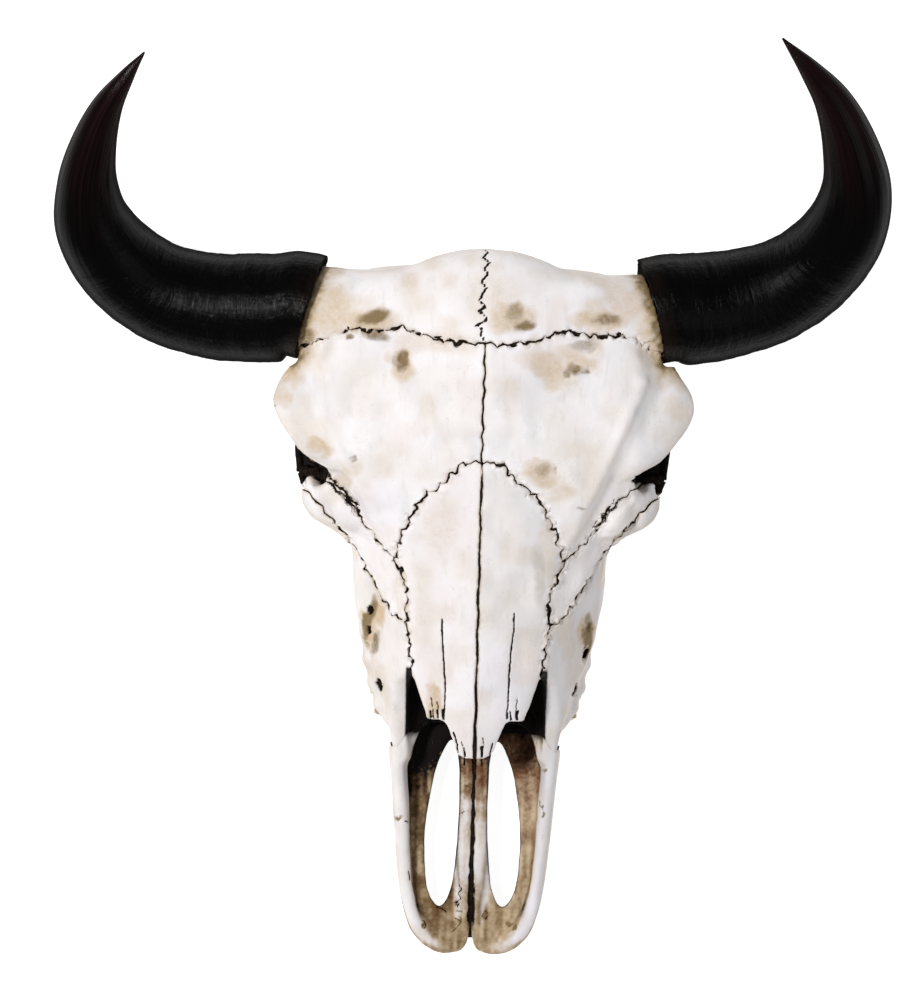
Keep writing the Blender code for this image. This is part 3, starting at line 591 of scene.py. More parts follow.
def within(points, outline, soft):
    """1 inside a closed outline seen from above, 0 outside it, with a soft edge inside it."""
    x, y = points[:, 0], points[:, 1]
    inside = np.zeros(len(points), bool)
    for (ax, ay), (bx, by) in zip(outline, outline[1:] + outline[:1]):
        crosses = (ay > y) != (by > y)
        inside ^= crosses & (x < ax + (y - ay) * (bx - ax) / (by - ay if by != ay else 1))
    return inside * ramp(off_line(points, outline + outline[:1], soft), 0, soft)


def blot(points, x, y, across, along, turn=0.0):
    """1 in the middle of an oval seen from above and 0 outside it."""
    a = math.radians(turn)
    dx, dy = points[:, 0] - x, points[:, 1] - y
    u = (dx * math.cos(a) + dy * math.sin(a)) / across
    v = (-dx * math.sin(a) + dy * math.cos(a)) / along
    return ramp(u * u + v * v, 1.35, 0.1)


def numbers(mesh, kind, size):
    found = np.zeros(len(mesh) * size, np.float32)
    mesh.foreach_get(kind, found)
    return found.reshape(-1, size).astype(float)


def keep(mesh, **fields):
    """Stores numbers at the mesh's points under their names."""
    for name, given in fields.items():
        made = mesh.attributes.new(name, "FLOAT", "POINT")
        made.data.foreach_set("value", np.asarray(given, np.float32))


def merged(name, cut=None):
    """A CAD bone's own surface in one welded mesh, with its teeth cut off at the gum line."""
    bm = bmesh.new()
    bm.from_mesh(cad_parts[name].data)
    bmesh.ops.remove_doubles(bm, verts=bm.verts, dist=2e-6)
    if cut is not None:
        geometry = bm.verts[:] + bm.edges[:] + bm.faces[:]
        bmesh.ops.bisect_plane(bm, geom=geometry, plane_co=(0, 0, cut), plane_no=(0, 0, -1), clear_outer=True)
        bmesh.ops.holes_fill(bm, edges=[e for e in bm.edges if e.is_boundary])
    return mesh_of(bm, name + "_skin")


def show(name, mesh, finish):
    mesh.materials.clear()
    mesh.materials.append(finish)
    mesh.shade_smooth()
    obj = placed(name, mesh)
    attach(obj, "root")
    return obj


def baked(mesh, group=None, inputs=None, voxel=None):
    """The mesh after one modifier, a voxel remesh or a node group, as a plain mesh again."""
    obj = placed("work", mesh)
    if voxel:
        modifier = obj.modifiers.new("skin", "REMESH")
        modifier.mode = "VOXEL"
        modifier.voxel_size = voxel / 1000
    else:
        modifier = obj.modifiers.new("shape", "NODES")
        modifier.node_group = group
        for item in group.interface.items_tree:
            if item.item_type == "SOCKET" and item.in_out == "INPUT" and item.name in inputs:
                modifier[item.identifier] = inputs[item.name]
    graph = bpy.context.evaluated_depsgraph_get()
    found = bpy.data.meshes.new_from_object(obj.evaluated_get(graph))
    obj.modifiers.clear()
    bpy.data.objects.remove(obj)
    return found


def tree_of(meshes):
    """One search tree over several meshes."""
    points, faces = [], []
    for mesh in meshes:
        start = len(points)
        points += [v.co.copy() for v in mesh.vertices]
        faces += [[start + i for i in p.vertices] for p in mesh.polygons]
    return BVHTree.FromPolygons(points, faces)


def relaxed(points, pairs, rounds, hold, limit):
    """Points drawn to the middle of their neighbours, none of them further than limit."""
    start = points.copy()
    count = len(points)
    degree = np.maximum(np.bincount(pairs.ravel(), minlength=count), 1)[:, None]
    for _ in range(rounds):
        total = np.stack([
            np.bincount(pairs[:, 0], points[pairs[:, 1], k], count)
            + np.bincount(pairs[:, 1], points[pairs[:, 0], k], count) for k in range(3)
        ], axis=1)
        points = points + 0.5 * hold[:, None] * (total / degree - points)
    move = points - start
    reach = np.linalg.norm(move, axis=1)
    return start + move * np.minimum(1, limit / np.maximum(reach, 1e-9))[:, None]


# Bones

def openness(meshes):
    """How much of its surroundings each point of the plain solids sees, from 0 to 1."""
    rng = random.Random(5)
    all_bone = tree_of(meshes.values())
    aims = []
    for _ in range(40):
        z = rng.uniform(-1, 1)
        a = rng.uniform(0, 2 * math.pi)
        flat = math.sqrt(1 - z * z)
        aims.append(Vector((flat * math.cos(a), flat * math.sin(a), z)))
    found = {}
    for name, mesh in meshes.items():
        seen = []
        for v in mesh.vertices:
            start = v.co + v.normal * 0.0012
            free = total = 0.0
            for aim in aims:
                lean = aim.dot(v.normal)
                if lean > 0.08:
                    total += lean
                    if all_bone.ray_cast(start, aim, 0.075)[0] is None:
                        free += lean
            seen.append(free / total if total else 1.0)
        found[name] = np.array(seen)
    return found


def carried(mesh, values, points):
    """Values at a plain solid's points, read off at places near its surface."""
    tree = tree_of([mesh])
    corners = [tuple(p.vertices) for p in mesh.polygons]
    spots = [v.co for v in mesh.vertices]
    found = np.zeros(len(points))
    for i, point in enumerate(points):
        place, _, face, _ = tree.find_nearest(Vector(point))
        a, b, c = corners[face][:3]
        weights = [1 / ((spots[k] - place).length + 1e-4) for k in (a, b, c)]
        found[i] = sum(w * values[k] for w, k in zip(weights, (a, b, c))) / sum(weights)
    return found


def bone_skin(name, plain, seen, neighbours, sheaths, finish):
    """A bone's fine skin: rounded at its seams, worn, pitted and ridged, with its stains and painted shade
    stored.
    """
    mesh = plain[name]
    kind = name.split("_")[0]
    area = sum(p.area for p in mesh.polygons) * 1e6
    voxel = max(FINEST_SKIN, math.sqrt(1.45 * area / SKIN_FACES))
    skin = baked(mesh.copy(), voxel=voxel)
    co = numbers(skin.vertices, "co", 3)
    pairs = np.zeros(len(skin.edges) * 2, np.int32)
    skin.edges.foreach_get("vertices", pairs)
    pairs = pairs.reshape(-1, 2)
    seam, toward = np.full(len(co), SEAM_SEARCH), np.zeros((len(co), 3))
    for i, p in enumerate(co):
        place, _, _, gap = neighbours.find_nearest(Vector(p), SEAM_SEARCH / 1000)
        if place is not None:
            seam[i] = gap * 1000
            toward[i] = (np.array(place) - p) / max(gap, 1e-6)
    hold = 0.06 + 0.94 * ramp(seam, 0.6, 3.2)
    co = relaxed(co, pairs, 26, hold, 0.0009)
    mm = co * 1000 - SHIFT
    aside, y = np.abs(mm[:, 0]), mm[:, 1]
    step = ramp(aside, 95, 102) * ramp(y, 64, 72) * ramp(y, 140, 120)
    loose = (1 - 0.7 * step) * ramp(seam, 5, 1.2) * (0.2 + 0.8 * ramp(aside, 3, 9)) * ramp(y, -70, -45)
    for axis in range(3):
        co[:, axis] += 0.0021 * grain(mm, 3.5, 41 + axis) * loose
    shut = np.maximum(ramp(y, -56, -62), ramp(y, 194, 197) * ramp(aside, 106, 112))
    shut *= ramp(aside, 8, 14)
    co += toward * (0.0008 * shut * ramp(seam, 2.0, 0.6))[:, None]
    if kind == "premaxilla":
        rod = ramp(aside, 6, 3) * ramp(y, -282, -262)
        co[:, 0] -= np.sign(mm[:, 0]) * (0.0006 + 0.0006 * grain(mm * (0, 1, 0.3), 6, 45)) * rod
    skin.vertices.foreach_set("co", co.astype(np.float32).ravel())
    skin.update()
    normal = numbers(skin.vertices, "normal", 3)
    rise = normal[:, 2]
    mm = co * 1000 - SHIFT
    x, y, z = mm.T
    aside = np.abs(x)
    on_left = x.mean() > 0
    up = ramp(rise, 0.05, 0.45)
    open_sky = carried(mesh, seen, co)
    sheath = np.array([sheaths.find_nearest(Vector(p), 0.04)[3] or 0.04 for p in co]) * 1000

    tan, olive, pit, hole, crack, furrow, ridge, patch = np.zeros((8, len(mm)))
    strayed, bent = mm.copy(), mm.copy()
    for axis in (0, 1):
        strayed[:, axis] += 4.5 * grain(mm, 14, 51 + axis) + 2.0 * grain(mm, 5, 53 + axis)
        bent[:, axis] += 1.5 * grain(mm, 4, 55 + axis) + 0.8 * grain(mm, 2, 57 + axis)
    for *oval, strength in TAN:
        cover(tan, strength * blot(strayed, *oval))
    for *oval, strength in OLIVE:
        near = mm + (strayed - mm) * min(1.0, min(oval[2:4]) / 9)
        cover(olive, strength * blot(near, *oval))
    tan *= up
    olive *= up
    cover(tan, 0.95 * ramp(sheath + 4 * grain(mm, 7, 3), 26, 2))
    # Painted shade, partly dirt: tan where a point sees less of its surroundings.
    cover(tan, 0.55 * ramp(open_sky, 0.72, 0.40))
    veil = 0.5 + 0.5 * grain(mm, 16, 71)
    # Partly a tan veil, partly painted shade on faces that slope away from straight up.
    cover(tan, 0.50 * ramp(rise, 0.85, 0.30) * veil)
    cover(tan, (0.22 + 0.16 * ramp(y, 150, 205)) * ramp(veil, 0.40, 0.95))
    cover(olive, 0.95 * ramp(sheath + 4 * grain(mm, 4, 4), 12, 1))
    # Painted shade, partly dirt: olive deeper in the hollows.
    cover(olive, 0.55 * ramp(open_sky, 0.50, 0.22))
    ledge = ramp(aside, 95, 102) * ramp(y, 62, 72) * ramp(y, 125, 108) * ramp(z, 122, 130)
    # Painted shade, partly dirt: near-black and rust deepest in the hollows.
    dark = ramp(open_sky, 0.30, 0.10) * (1 - ledge)
    rust = 0.5 * ramp(open_sky, 0.36, 0.16)
    # Painted shade: tan on faces turned downward.
    under = ramp(rise, 0.0, -0.6)
    cover(tan, 0.42 * under * (0.6 + 0.4 * grain(mm, 14, 6)))

    for px, py, rx, ry, depth, shade in PITS:
        oval = blot(bent, px, py, rx * 1.25, ry * 1.25) * up
        cover(pit, depth * oval)
        # Painted shade: deep holes are laid near-black inside.
        if shade > 0.75:
            cover(hole, ramp(oval, 0.10, 0.42))
        else:
            cover(olive, 1.5 * shade * oval)
    for line, width, depth in SLITS:
        away = off_line(mm + (bent - mm) * 0.25, smooth_path(line, 24), 6)
        cover(crack, ramp(away, width * 1.3, width * 0.1) * up)
        cover(furrow, depth * ramp(away, width * 0.9, 0) * up)
    if kind == "cranium":
        away = off_line(mm, CROWN_LINE, 6)
        behind = up * ramp(y, 197, 200)
        cover(crack, ramp(away, 1.7, 0.2) * behind)
        cover(furrow, 1.2 * ramp(away, 1.4, 0) * behind)
    for line, half, height in RIDGES:
        away = off_line(mm, smooth_path(line, 20), half * 2)
        ridge += height * np.exp(-((away / half) ** 2) * 2) * up
    if kind == "lacrimal":
        tan *= 0.45
        olive *= 0.45
        for line in TEAR_BARS:
            away = off_line(mm, smooth_path(line, 20), 14)
            ridge += 3.0 * np.exp(-((away / 5.5) ** 2)) * ramp(rise, 0.35, 0.75) * ramp(seam, 1.5, 6)
    if kind == "maxilla":
        outer = ramp(np.abs(normal[:, 0]), 0.25, 0.7) * ramp(aside, 58, 64)
        start = TOOTH_ROW_FRONT[1]
        for length, _ in TEETH:
            reach = length * (TOOTH_ROW_BACK[1] - TOOTH_ROW_FRONT[1]) / sum(n for n, _ in TEETH)
            swollen = np.exp(-(((y - start - reach / 2) / (reach * 0.34)) ** 2))
            ridge += (2.6 * swollen - 0.8) * outer * ramp(z, 66, 40)
            start += reach

    cool = 0.34 * grain(strayed * (1, 0.4, 1), 12, 61) * up
    # Grey on the nasal's +x part and on the brows' outer sides, stronger at +x: partly tone, partly painted
    # shade on the side away from the key light; the nasal at -x is pinker.
    if kind == "nasal":
        cool += np.where(x > 0, 0.22 * ramp(x, 5, 40) + 0.16, -0.30) * up
    cool += 0.5 * ramp(aside, 108, 128) * ramp(y, 195, 165) * np.where(x > 0, 1.0, 0.35) * up

    # Painted shade, partly a dark stain: near-black laid in the hollow of each eye socket.
    middle = np.array(EYE, float) * (1 if on_left else -1, 1, 1)
    inward = ((middle - mm) * normal).sum(axis=1)
    inside = (((mm - middle) / EYE_REACH) ** 2).sum(axis=1)
    socket = ramp(inside, 1.0, 0.8) * ramp(inward, -4, 3) * ramp(rise, 0.90, 0.75)
    brink = np.where(aside > 136, 84.0, 91.0)
    socket *= ramp(y, brink, brink + 4)
    cover(dark, socket)
    # The same inside the socket outlines seen from above, which are also sunk.
    if kind in ("cranium", "frontal", "lacrimal", "zygomatic"):
        hollow = within(bent, SOCKETS["left" if on_left or kind == "cranium" else "right"], 2.0)
        if kind == "cranium":
            cover(hollow, within(bent, SOCKETS["right"], 2.0))
        hollow = np.minimum(1, 1.4 * hollow) * ramp(z, 151, 148)
        cover(dark, hollow)
        cover(pit, 6 * hollow * up)

    # Painted shade in the muzzle: its low floor and inner rods darken towards the back; rust, olive and tan
    # there are stains.
    if kind in ("premaxilla", "maxilla"):
        low = ramp(z, 34, 30) * ramp(y, -58, -70) * ramp(aside, 56, 52)
        cover(low, ramp(rise, 0.5, 0.1) * ramp(aside, 52, 48) * ramp(y, -66, -72))
        low *= 1 - ramp(y, -262, -268) * ramp(rise, 0.45, 0.15)
        rods = ramp(aside, 17, 13) * ramp(y, -58, -66) * ramp(y, -262, -250)
        shades = MUZZLE["left" if on_left else "right"]
        spread = 0.42 * grain(mm * (1, 0.14, 1), 3, 7) + 0.20 * grain(mm, 9, 63) + 0.16 * grain(mm, 2.5, 64)
        values = []
        for floor_part, rod_part in zip(shades, RODS):
            floor_part = np.interp(y, MUZZLE_Y, floor_part)
            rod_part = np.interp(y, MUZZLE_Y, rod_part)
            share = floor_part * (1 - rods) + rod_part * rods
            values.append((share + spread * ramp(share, 0.0, 0.3)) * np.maximum(low, rods))
        cover(dark, values[0])
        cover(rust, values[1])
        cover(olive, values[2])
        cover(tan, values[3])
        # Painted shade: near-black in the gap between the rods, on the walls of the muzzle's windows and at
        # the muzzle's back, under the nasals.
        split = np.interp(y, (-266, -240, -205, -150, -120), (3.4, 3.2, 2.0, 1.8, 2.6))
        split += 0.7 * grain(mm, 5, 65)
        edge = ramp(aside, split, split - 1.0) * ramp(y, -58, -66) * ramp(y, -268, -255)
        wall = ramp(rise, 0.75, 0.25) * ramp(aside, 46, 42) * ramp(y, -66, -72) * ramp(z, 12, 20)
        wall *= ramp(y, -268, -258)
        back = ramp(aside, 56.5, 54.5) * ramp(y, -114, -104) * ramp(y, -52, -56)
        cover(dark, back)
        cool *= 1 - np.maximum(low, rods)
        cover(cool, 0.25 * rods)
        # Grey on the muzzle's outer bars, mostly at +x: partly tone, partly painted shade.
        cool += 0.45 * ramp(aside, 50, 56) * up * np.where(x > 0, 1.0, 0.15)
        cover(dark, np.maximum(edge, wall * 0.9))
    # Painted shade: near-black inside the nose, under the nasals.
    if kind == "maxilla":
        cavity = ramp(aside, 56.5, 54.5) * ramp(y, -53, -56) * ramp(z, 75, 66)
        cover(dark, cavity)
    # Painted shade: the nasal's underside, inside the nose, laid near-black.
    if kind == "nasal":
        cover(dark, ramp(rise, -0.1, -0.4))

    swell = grain(mm, 22, 1) * 0.30 + grain(mm, 9, 2) * 0.16
    rough = grain(mm, 3.4, 8) * 0.07 + grain(mm, 1.9, 9) * 0.035
    worn = ramp(sheath, 12, 2) * (np.abs(grain(mm, 4, 10)) * 0.9)
    for oval in WORN_PATCHES:
        cover(patch, blot(mm, *oval))
    patch *= up * np.maximum(0, grain(mm, 3.0, 12)) * 0.9
    groove = 0.20 * np.exp(-((seam / 0.9) ** 2)) + 0.18 * np.exp(-((seam / 2.6) ** 2))
    lift = swell + rough + ridge - pit - furrow - groove - worn - patch
    lift = np.clip(lift, *LIFT_RANGE)
    co = co + normal * (lift / 1000)[:, None]
    skin.vertices.foreach_set("co", co.astype(np.float32).ravel())
    tight = 0.5 + 0.6 * ramp(grain(mm, 12, 15), -0.5, 0.5)
    cover(tight, 1.5 * ramp(aside, 6, 2) * ramp(y, 105, 95))
    tight *= 1 - ramp(y, 188, 194) * (0.25 + 0.55 * ramp(grain(mm, 5, 16), -0.2, 0.3))
    tight *= 1 - ramp(y, 195, 198) * ramp(aside, 106, 112)
    tight *= 1 - (0.8 if kind == "frontal" else 0.15) * ledge
    tight *= 1 - ramp(y, -56, -62) * ramp(aside, 8, 14)
    cover(dark, hole)
    dark = dark + 0.8 * ramp(dark, 0.8, 1.0)
    keep(skin, seam=seam, tight=tight, tan=tan, olive=olive, rust=rust, dark=dark, crack=crack, cool=cool)
    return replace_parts(show(name + "_bone", skin, finish), name)


def seam_filling(plain, finish):
    """Narrow dark strips a little below the skins, so that no light passes between two bones: painted shade
    in the gaps, with a rod under the muzzle's middle gap.
    """
    bm = bmesh.new()
    for mesh in plain.values():
        bm.from_mesh(mesh)
    body = baked(mesh_of(bm, "whole"), voxel=FILLING_VOXEL)
    co = numbers(body.vertices, "co", 3)
    normal = numbers(body.vertices, "normal", 3)
    trees = [tree_of([mesh]) for mesh in plain.values()]
    near = np.zeros(len(co), int)
    for tree in trees:
        near += np.array([tree.find_nearest(Vector(p), FILLING_SEARCH / 1000)[3] is not None for p in co])
    body.vertices.foreach_set("co", (co - normal * FILLING_DEPTH / 1000).astype(np.float32).ravel())
    bm = bmesh.new()
    bm.from_mesh(body)
    bm.verts.ensure_lookup_table()
    bmesh.ops.delete(bm, geom=[v for v in bm.verts if near[v.index] < 2], context="VERTS")
    count = 40
    rows = []
    for i in range(count):
        y = -58 - 198 * i / (count - 1)
        top = float(np.interp(y, (-262, -200, -130, -70), (28, 31, 34, 40)))
        wobble = 0.6 * math.sin(i * 1.7) + 0.4 * math.sin(i * 4.1)
        ring = ((-3.2, 14), (3.2, 14), (3.0, top - 1 + wobble), (0, top + wobble), (-3.0, top - 1 - wobble))
        rows.append([bm.verts.new(((x + SHIFT[0]) / 1000, (y + SHIFT[1]) / 1000, z / 1000)) for x, z in ring])
    for a, b in zip(rows, rows[1:]):
        for k in range(5):
            bm.faces.new((a[k], b[k], b[(k + 1) % 5], a[(k + 1) % 5]))
    bm.faces.new(rows[0])
    bm.faces.new(rows[-1][::-1])
    return show("seam_filling", mesh_of(bm, "seam_filling"), finish)


# Teeth

def cheek_tooth(bm, layers, centre, length, width, lean, side, rng):
    """One tall, folded cheek tooth: ribs down its outer face and worn, crescent-marked cusps below."""
    count = 84
    neck_layer, fold_layer = layers
    levels = ((26.0, 0.86), (20.0, 0.93), (17.0, 0.97), (13.0, 1.0), (10.0, 1.0), (7.0, 0.99), (4.5, 0.975))
    turns = [2 * math.pi * k / count for k in range(count)]
    age = rng.uniform(-0.4, 0.4)

    def outline(a, scale, ribs):
        """A rounded oblong with three ribs outside, one fold inside and a waist between its lobes."""
        u = math.copysign(abs(math.cos(a)) ** 0.55, math.cos(a)) * width / 2 * scale
        v = math.copysign(abs(math.sin(a)) ** 0.55, math.sin(a)) * (length - 0.9) / 2 * scale
        share = v / length
        if math.cos(a) * side > 0:
            for rib, size in ((-0.44, 1.3), (-0.02, 1.5), (0.44, 1.3)):
                u += side * ribs * size * math.exp(-(((share - rib) / 0.045) ** 2))
            u -= side * ribs * 0.7 * math.exp(-(((abs(share) - 0.22) / 0.10) ** 2))
        else:
            u += side * ribs * 2.4 * math.exp(-((share / 0.075) ** 2))
        return u, v

    def point(u, v, z):
        c, s = math.cos(lean), math.sin(lean)
        place = Vector((centre[0] + u * c - v * s, centre[1] + u * s + v * c, z))
        return bm.verts.new((place + Vector(SHIFT)) / 1000)

    def cusp(v):
        """How far the worn edge dips between its two cusps and at its ends."""
        return 1.5 * (1 - abs(math.sin(2 * math.pi * (v / length + 0.5)))) + 0.2 + age * 0.3

    rows = []
    for z, scale in levels:
        row = []
        for a in turns:
            u, v = outline(a, scale, 1.0 if z < 22 else 0.4)
            wave = 0.16 * math.sin(a * 11 + z * 0.5) + 0.12 * rng.uniform(-1, 1)
            u += math.cos(a) * wave
            v += math.sin(a) * wave * 0.4
            vert = point(u, v, z)
            share = v / length
            ends = math.exp(-(((abs(share) - 0.5) / 0.035) ** 2))
            trough = math.exp(-(((abs(share) - 0.30) / 0.06) ** 2))
            trough += math.exp(-((share - 0.10) / 0.04) ** 2)
            vert[neck_layer] = max(0.0, min(1.0, (z - 9) / 7))
            vert[fold_layer] = min(1.0, 0.9 * ends + 0.42 * trough * (z > 6))
            row.append(vert)
        rows.append(row)
    for share in (0.995, 0.95, 0.88, 0.8, 0.72, 0.64, 0.56, 0.48, 0.4, 0.32, 0.24, 0.16, 0.08):
        row = []
        for a in turns:
            u, v = outline(a, share * 0.975, 1.0 - 0.5 * (1 - share))
            lobe = min(
                math.hypot(u / (0.40 * width), (v - k * 0.24 * length) / (0.20 * length)) for k in (-1, 1)
            )
            rim = math.exp(-(((share - 0.95) / 0.07) ** 2))
            crescent = math.exp(-(((lobe - 0.66) / 0.13) ** 2))
            sunk = math.exp(-((lobe / 0.36) ** 2))
            z = 2.6 + cusp(v) * 0.6 - 1.9 * max(rim, crescent) + 2.6 * sunk
            vert = point(u, v, max(0.6, z))
            vert[neck_layer] = 0.2
            vert[fold_layer] = min(1.0, 1.2 * sunk + 0.45 * (1 - max(rim, crescent)))
            row.append(vert)
        rows.append(row)
    for a, b in zip(rows, rows[1:]):
        for k in range(count):
            j = (k + 1) % count
            bm.faces.new((a[k], a[j], b[j], b[k]))
    bm.faces.new(rows[0])
    bm.faces.new(rows[-1])


def cheek_teeth(side, s, finish):
    """Six cheek teeth, front to back, set edge to edge along a slightly bowed row."""
    rng = random.Random(21 + s)
    front, back = Vector(TOOTH_ROW_FRONT), Vector(TOOTH_ROW_BACK)
    total = sum(length for length, _ in TEETH)
    bm = bmesh.new()
    layers = [bm.verts.layers.float.new(name) for name in ("neck", "fold")]
    passed = 0.0
    for length, width in TEETH:
        share = (passed + length / 2) / total
        middle = front.lerp(back, share) + Vector((5.0 * math.sin(math.pi * share), 0))
        lean = math.radians(-6 + 10 * share) * -s
        reach = length * (back - front).length / total
        cheek_tooth(bm, layers, (s * middle.x, middle.y), reach, width, lean, s, rng)
        passed += length
    bmesh.ops.recalc_face_normals(bm, faces=bm.faces)
    name = "cheek_teeth_" + side
    return show(name, mesh_of(bm, name), finish)


# Horn sheaths

def sheath_tube(side, s):
    """The sheath's plain tube, with how far along and around it each point lies."""
    data = HORN[side]
    centres = smooth_path([(s * p[0], p[1], p[2]) for p, _ in data], HORN_RINGS)
    widths = smooth_path([(d,) for _, d in data], HORN_RINGS)[:, 0]
    base = Vector(centres[0])
    outward = Vector((s * math.cos(HORN_SKEW), math.sin(HORN_SKEW), -0.06)).normalized()
    turns = np.linspace(0, 2 * math.pi, HORN_SIDES, endpoint=False)
    across = (Vector((0, 1, 0)) - outward * outward.y).normalized()
    up = across.cross(outward)
    rows, passed, travelled = [], [], 0.0

    def ring(middle, across, up, radius, out=0.0):
        side_way = np.outer(np.cos(turns) * radius, across)
        up_way = np.outer(np.sin(turns) * radius * HORN_DEPTH, up)
        return np.array(middle) + side_way + up_way + np.outer(np.broadcast_to(out, len(turns)), outward)

    circle = np.stack([np.cos(turns), np.sin(turns), np.full(len(turns), s)], axis=1)
    ragged = 0.62 + 0.28 * grain(circle, 0.22, 31) + 0.14 * grain(circle, 0.07, 32)
    lip = -HORN_LIP * np.clip(ragged, 0.25, 1.0)
    mouth = widths[0] / 2
    rim = ((HORN_SEAT, 0.0), (HORN_SEAT + 0.8, -0.2), (mouth - 1.4, lip * 0.55), (mouth - 0.5, lip))
    for radius, out in rim:
        rows.append(ring(base, across, up, radius, out))
        passed.append(0.0)
    way = Vector((0, 1, 0))
    for i in range(1, HORN_RINGS):
        ahead = Vector(centres[min(i + 1, HORN_RINGS - 1)] - centres[i - 1]).normalized()
        way = (way - ahead * ahead.dot(way)).normalized()
        travelled += float(np.linalg.norm(centres[i] - centres[i - 1]))
        plain = ring(centres[i], way, way.cross(ahead), widths[i] / 2)
        if travelled < HORN_SEATED:
            fading = lip * max(0.0, 1 - travelled / 14)
            seated = ring(base + outward * travelled, across, up, widths[i] / 2, fading)
            blend = ramp(travelled, 2, HORN_SEATED)
            plain = plain * blend + seated * (1 - blend)
        rows.append(plain)
        passed.append(travelled)
    points = np.concatenate(rows)
    count = len(rows)
    faces = []
    for r in range(count - 1):
        for k in range(HORN_SIDES):
            j = (k + 1) % HORN_SIDES
            a, b = r * HORN_SIDES, (r + 1) * HORN_SIDES
            faces.append((a + k, a + j, b + j, b + k))
    faces.append(tuple(range(HORN_SIDES)))
    faces.append(tuple(range((count - 1) * HORN_SIDES, count * HORN_SIDES)))
    mesh = bpy.data.meshes.new("sheath_" + side)
    mesh.from_pydata(((points + SHIFT) / 1000).tolist(), [], faces)
    bm = bmesh.new()
    bm.from_mesh(mesh)
    bmesh.ops.recalc_face_normals(bm, faces=bm.faces)
    bm.to_mesh(mesh)
    bm.free()
    along = np.repeat(np.array(passed), HORN_SIDES)
    around = np.tile(turns, count)
    keep(mesh, along=along / 1000, share=along / travelled)
    lie = mesh.attributes.new("lie", "FLOAT_VECTOR", "POINT")
    vectors = np.stack([along / 1000, np.cos(around) * 0.5 + 0.5, np.sin(around) * 0.5 + 0.5], axis=1)
    lie.data.foreach_set("vector", vectors.astype(np.float32).ravel())
    return mesh


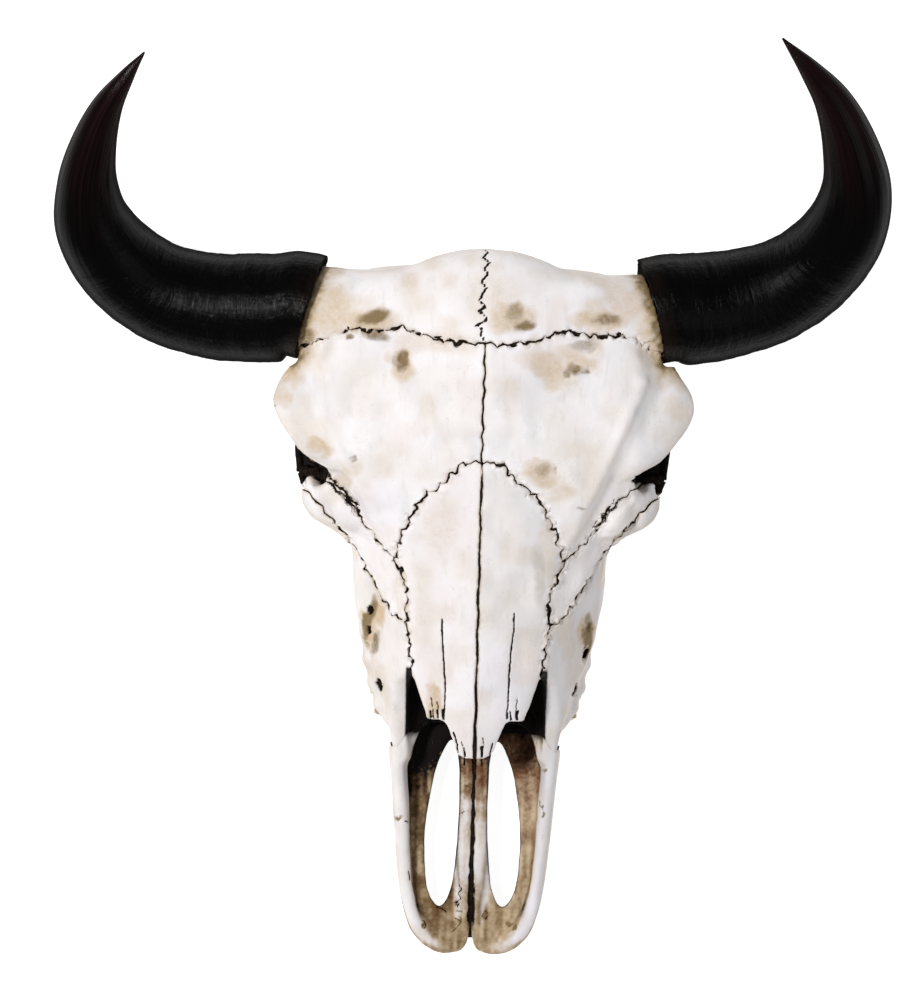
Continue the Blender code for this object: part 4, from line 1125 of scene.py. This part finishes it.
def sheath_rings():
    """A node group that grows rings, cross wrinkles and long grain on a horn sheath."""
    group = bpy.data.node_groups.new("sheath_rings", "GeometryNodeTree")
    face = group.interface
    face.new_socket("Geometry", in_out="INPUT", socket_type="NodeSocketGeometry")
    for name in ("Ring spacing", "Ring depth", "Wrinkle spacing", "Wrinkle depth", "Grain depth", "Seed"):
        face.new_socket(name, in_out="INPUT", socket_type="NodeSocketFloat")
    face.new_socket("Finish", in_out="INPUT", socket_type="NodeSocketMaterial")
    face.new_socket("Geometry", in_out="OUTPUT", socket_type="NodeSocketGeometry")
    r = Recipe(group)
    start = group.nodes.new("NodeGroupInput")
    given = {socket.name: Value(r, socket) for socket in start.outputs if socket.name}

    def carried_value(name, kind="FLOAT"):
        return r.node("GeometryNodeInputNamedAttribute", {"data_type": kind}, {"Name": name})

    along = carried_value("along")
    share = carried_value("share")
    split = group.nodes.new("ShaderNodeSeparateXYZ")
    group.links.new(carried_value("lie", "FLOAT_VECTOR").socket, split.inputs[0])
    turn_a, turn_b = Value(r, split.outputs[1]), Value(r, split.outputs[2])

    def woven(spacing, around, detail, twist):
        place = r.node(
            "ShaderNodeCombineXYZ", {},
            {0: along / spacing + given["Seed"], 1: turn_a * around, 2: turn_b * around},
        )
        return r.noise(place, 1.0, detail, 0.55, twist)

    near = share.step(0.66, 0.22)
    lipless = share.step(0.0, 0.02)
    rings = woven(given["Ring spacing"], 1.1, 1.0, 0.2) - 0.5
    wrinkles = (woven(given["Wrinkle spacing"], 7.0, 3.0, 0.9) - 0.5) * 2.0
    grain_long = woven(given["Ring spacing"] * 14, 16.0, 3.0, 0.2) - 0.5
    lift = (
        rings * given["Ring depth"] * near
        - wrinkles.math("ABSOLUTE") * given["Wrinkle depth"] * near
        + grain_long * given["Grain depth"]
    ) * lipless * share.step(1.0, 0.93)
    out = r.node("GeometryNodeInputNormal")
    offset = r.node("ShaderNodeVectorMath", {"operation": "SCALE"}, {0: out, "Scale": lift})
    shaped = r.node("GeometryNodeSetPosition", {}, {"Geometry": given["Geometry"], "Offset": offset})
    whole = r.node("GeometryNodeRealizeInstances", {}, {0: shaped})
    done = r.node("GeometryNodeSetMaterial", {}, {"Geometry": whole, "Material": given["Finish"]})
    end = group.nodes.new("NodeGroupOutput")
    group.links.new(done.socket, end.inputs[0])
    return group


def horn_sheath(side, s, rings, finish):
    inputs = {
        "Ring spacing": 0.0105, "Ring depth": 0.0016, "Wrinkle spacing": 0.0030, "Wrinkle depth": 0.0007,
        "Grain depth": 0.0005, "Seed": 3.0 + s, "Finish": finish,
    }
    mesh = baked(sheath_tube(side, s), rings, inputs)
    name = "horn_" + side
    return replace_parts(show(name + "_sheath", mesh, finish), name)


def main():
    photo_camera()
    scene = bpy.context.scene
    scene.view_settings.view_transform = "Standard"
    world = bpy.data.worlds.new("studio")
    scene.world = world
    world.use_nodes = True
    sky = world.node_tree.nodes["Background"].inputs
    sky[0].default_value = (1.0, 1.0, 1.0, 1)
    sky[1].default_value = WORLD_LIGHT
    soft_box("key_left", (-1.05, 0.15, 2.4), (0.0, -0.05, 0.1), 45, (0.32, 0.32))
    soft_box("fill_right", (1.6, -0.7, 1.9), (0.0, 0.0, 0.1), 6, (1.4, 1.4), (0.95, 0.97, 1.0))

    bone = bone_finish()
    plain = {}
    for name in BONES:
        cut = TOOTH_CUT / 1000 if name.startswith("maxilla") else None
        plain[name] = merged(name, cut)
    horns = {side: merged("horn_" + side) for side, _ in SIDES}
    sheaths = tree_of(horns.values())
    seen = openness(plain)
    for name in BONES:
        neighbours = tree_of([mesh for other, mesh in plain.items() if other != name])
        bone_skin(name, plain, seen[name], neighbours, sheaths, bone)
    seam_filling(plain, gap_shade_finish())
    enamel = tooth_finish()
    rings = sheath_rings()
    horn = sheath_finish()
    for side, s in SIDES:
        cheek_teeth(side, s, enamel)
        horn_sheath(side, s, rings, horn)

    floor_mesh = bpy.data.meshes.new("floor")
    corners = [(x * FLOOR_REACH, y * FLOOR_REACH, 0) for x, y in ((-1, -1), (1, -1), (1, 1), (-1, 1))]
    floor_mesh.from_pydata(corners, [], [(0, 1, 2, 3)])
    floor_mesh.materials.append(floor_finish())
    floor = placed("floor", floor_mesh)


main()
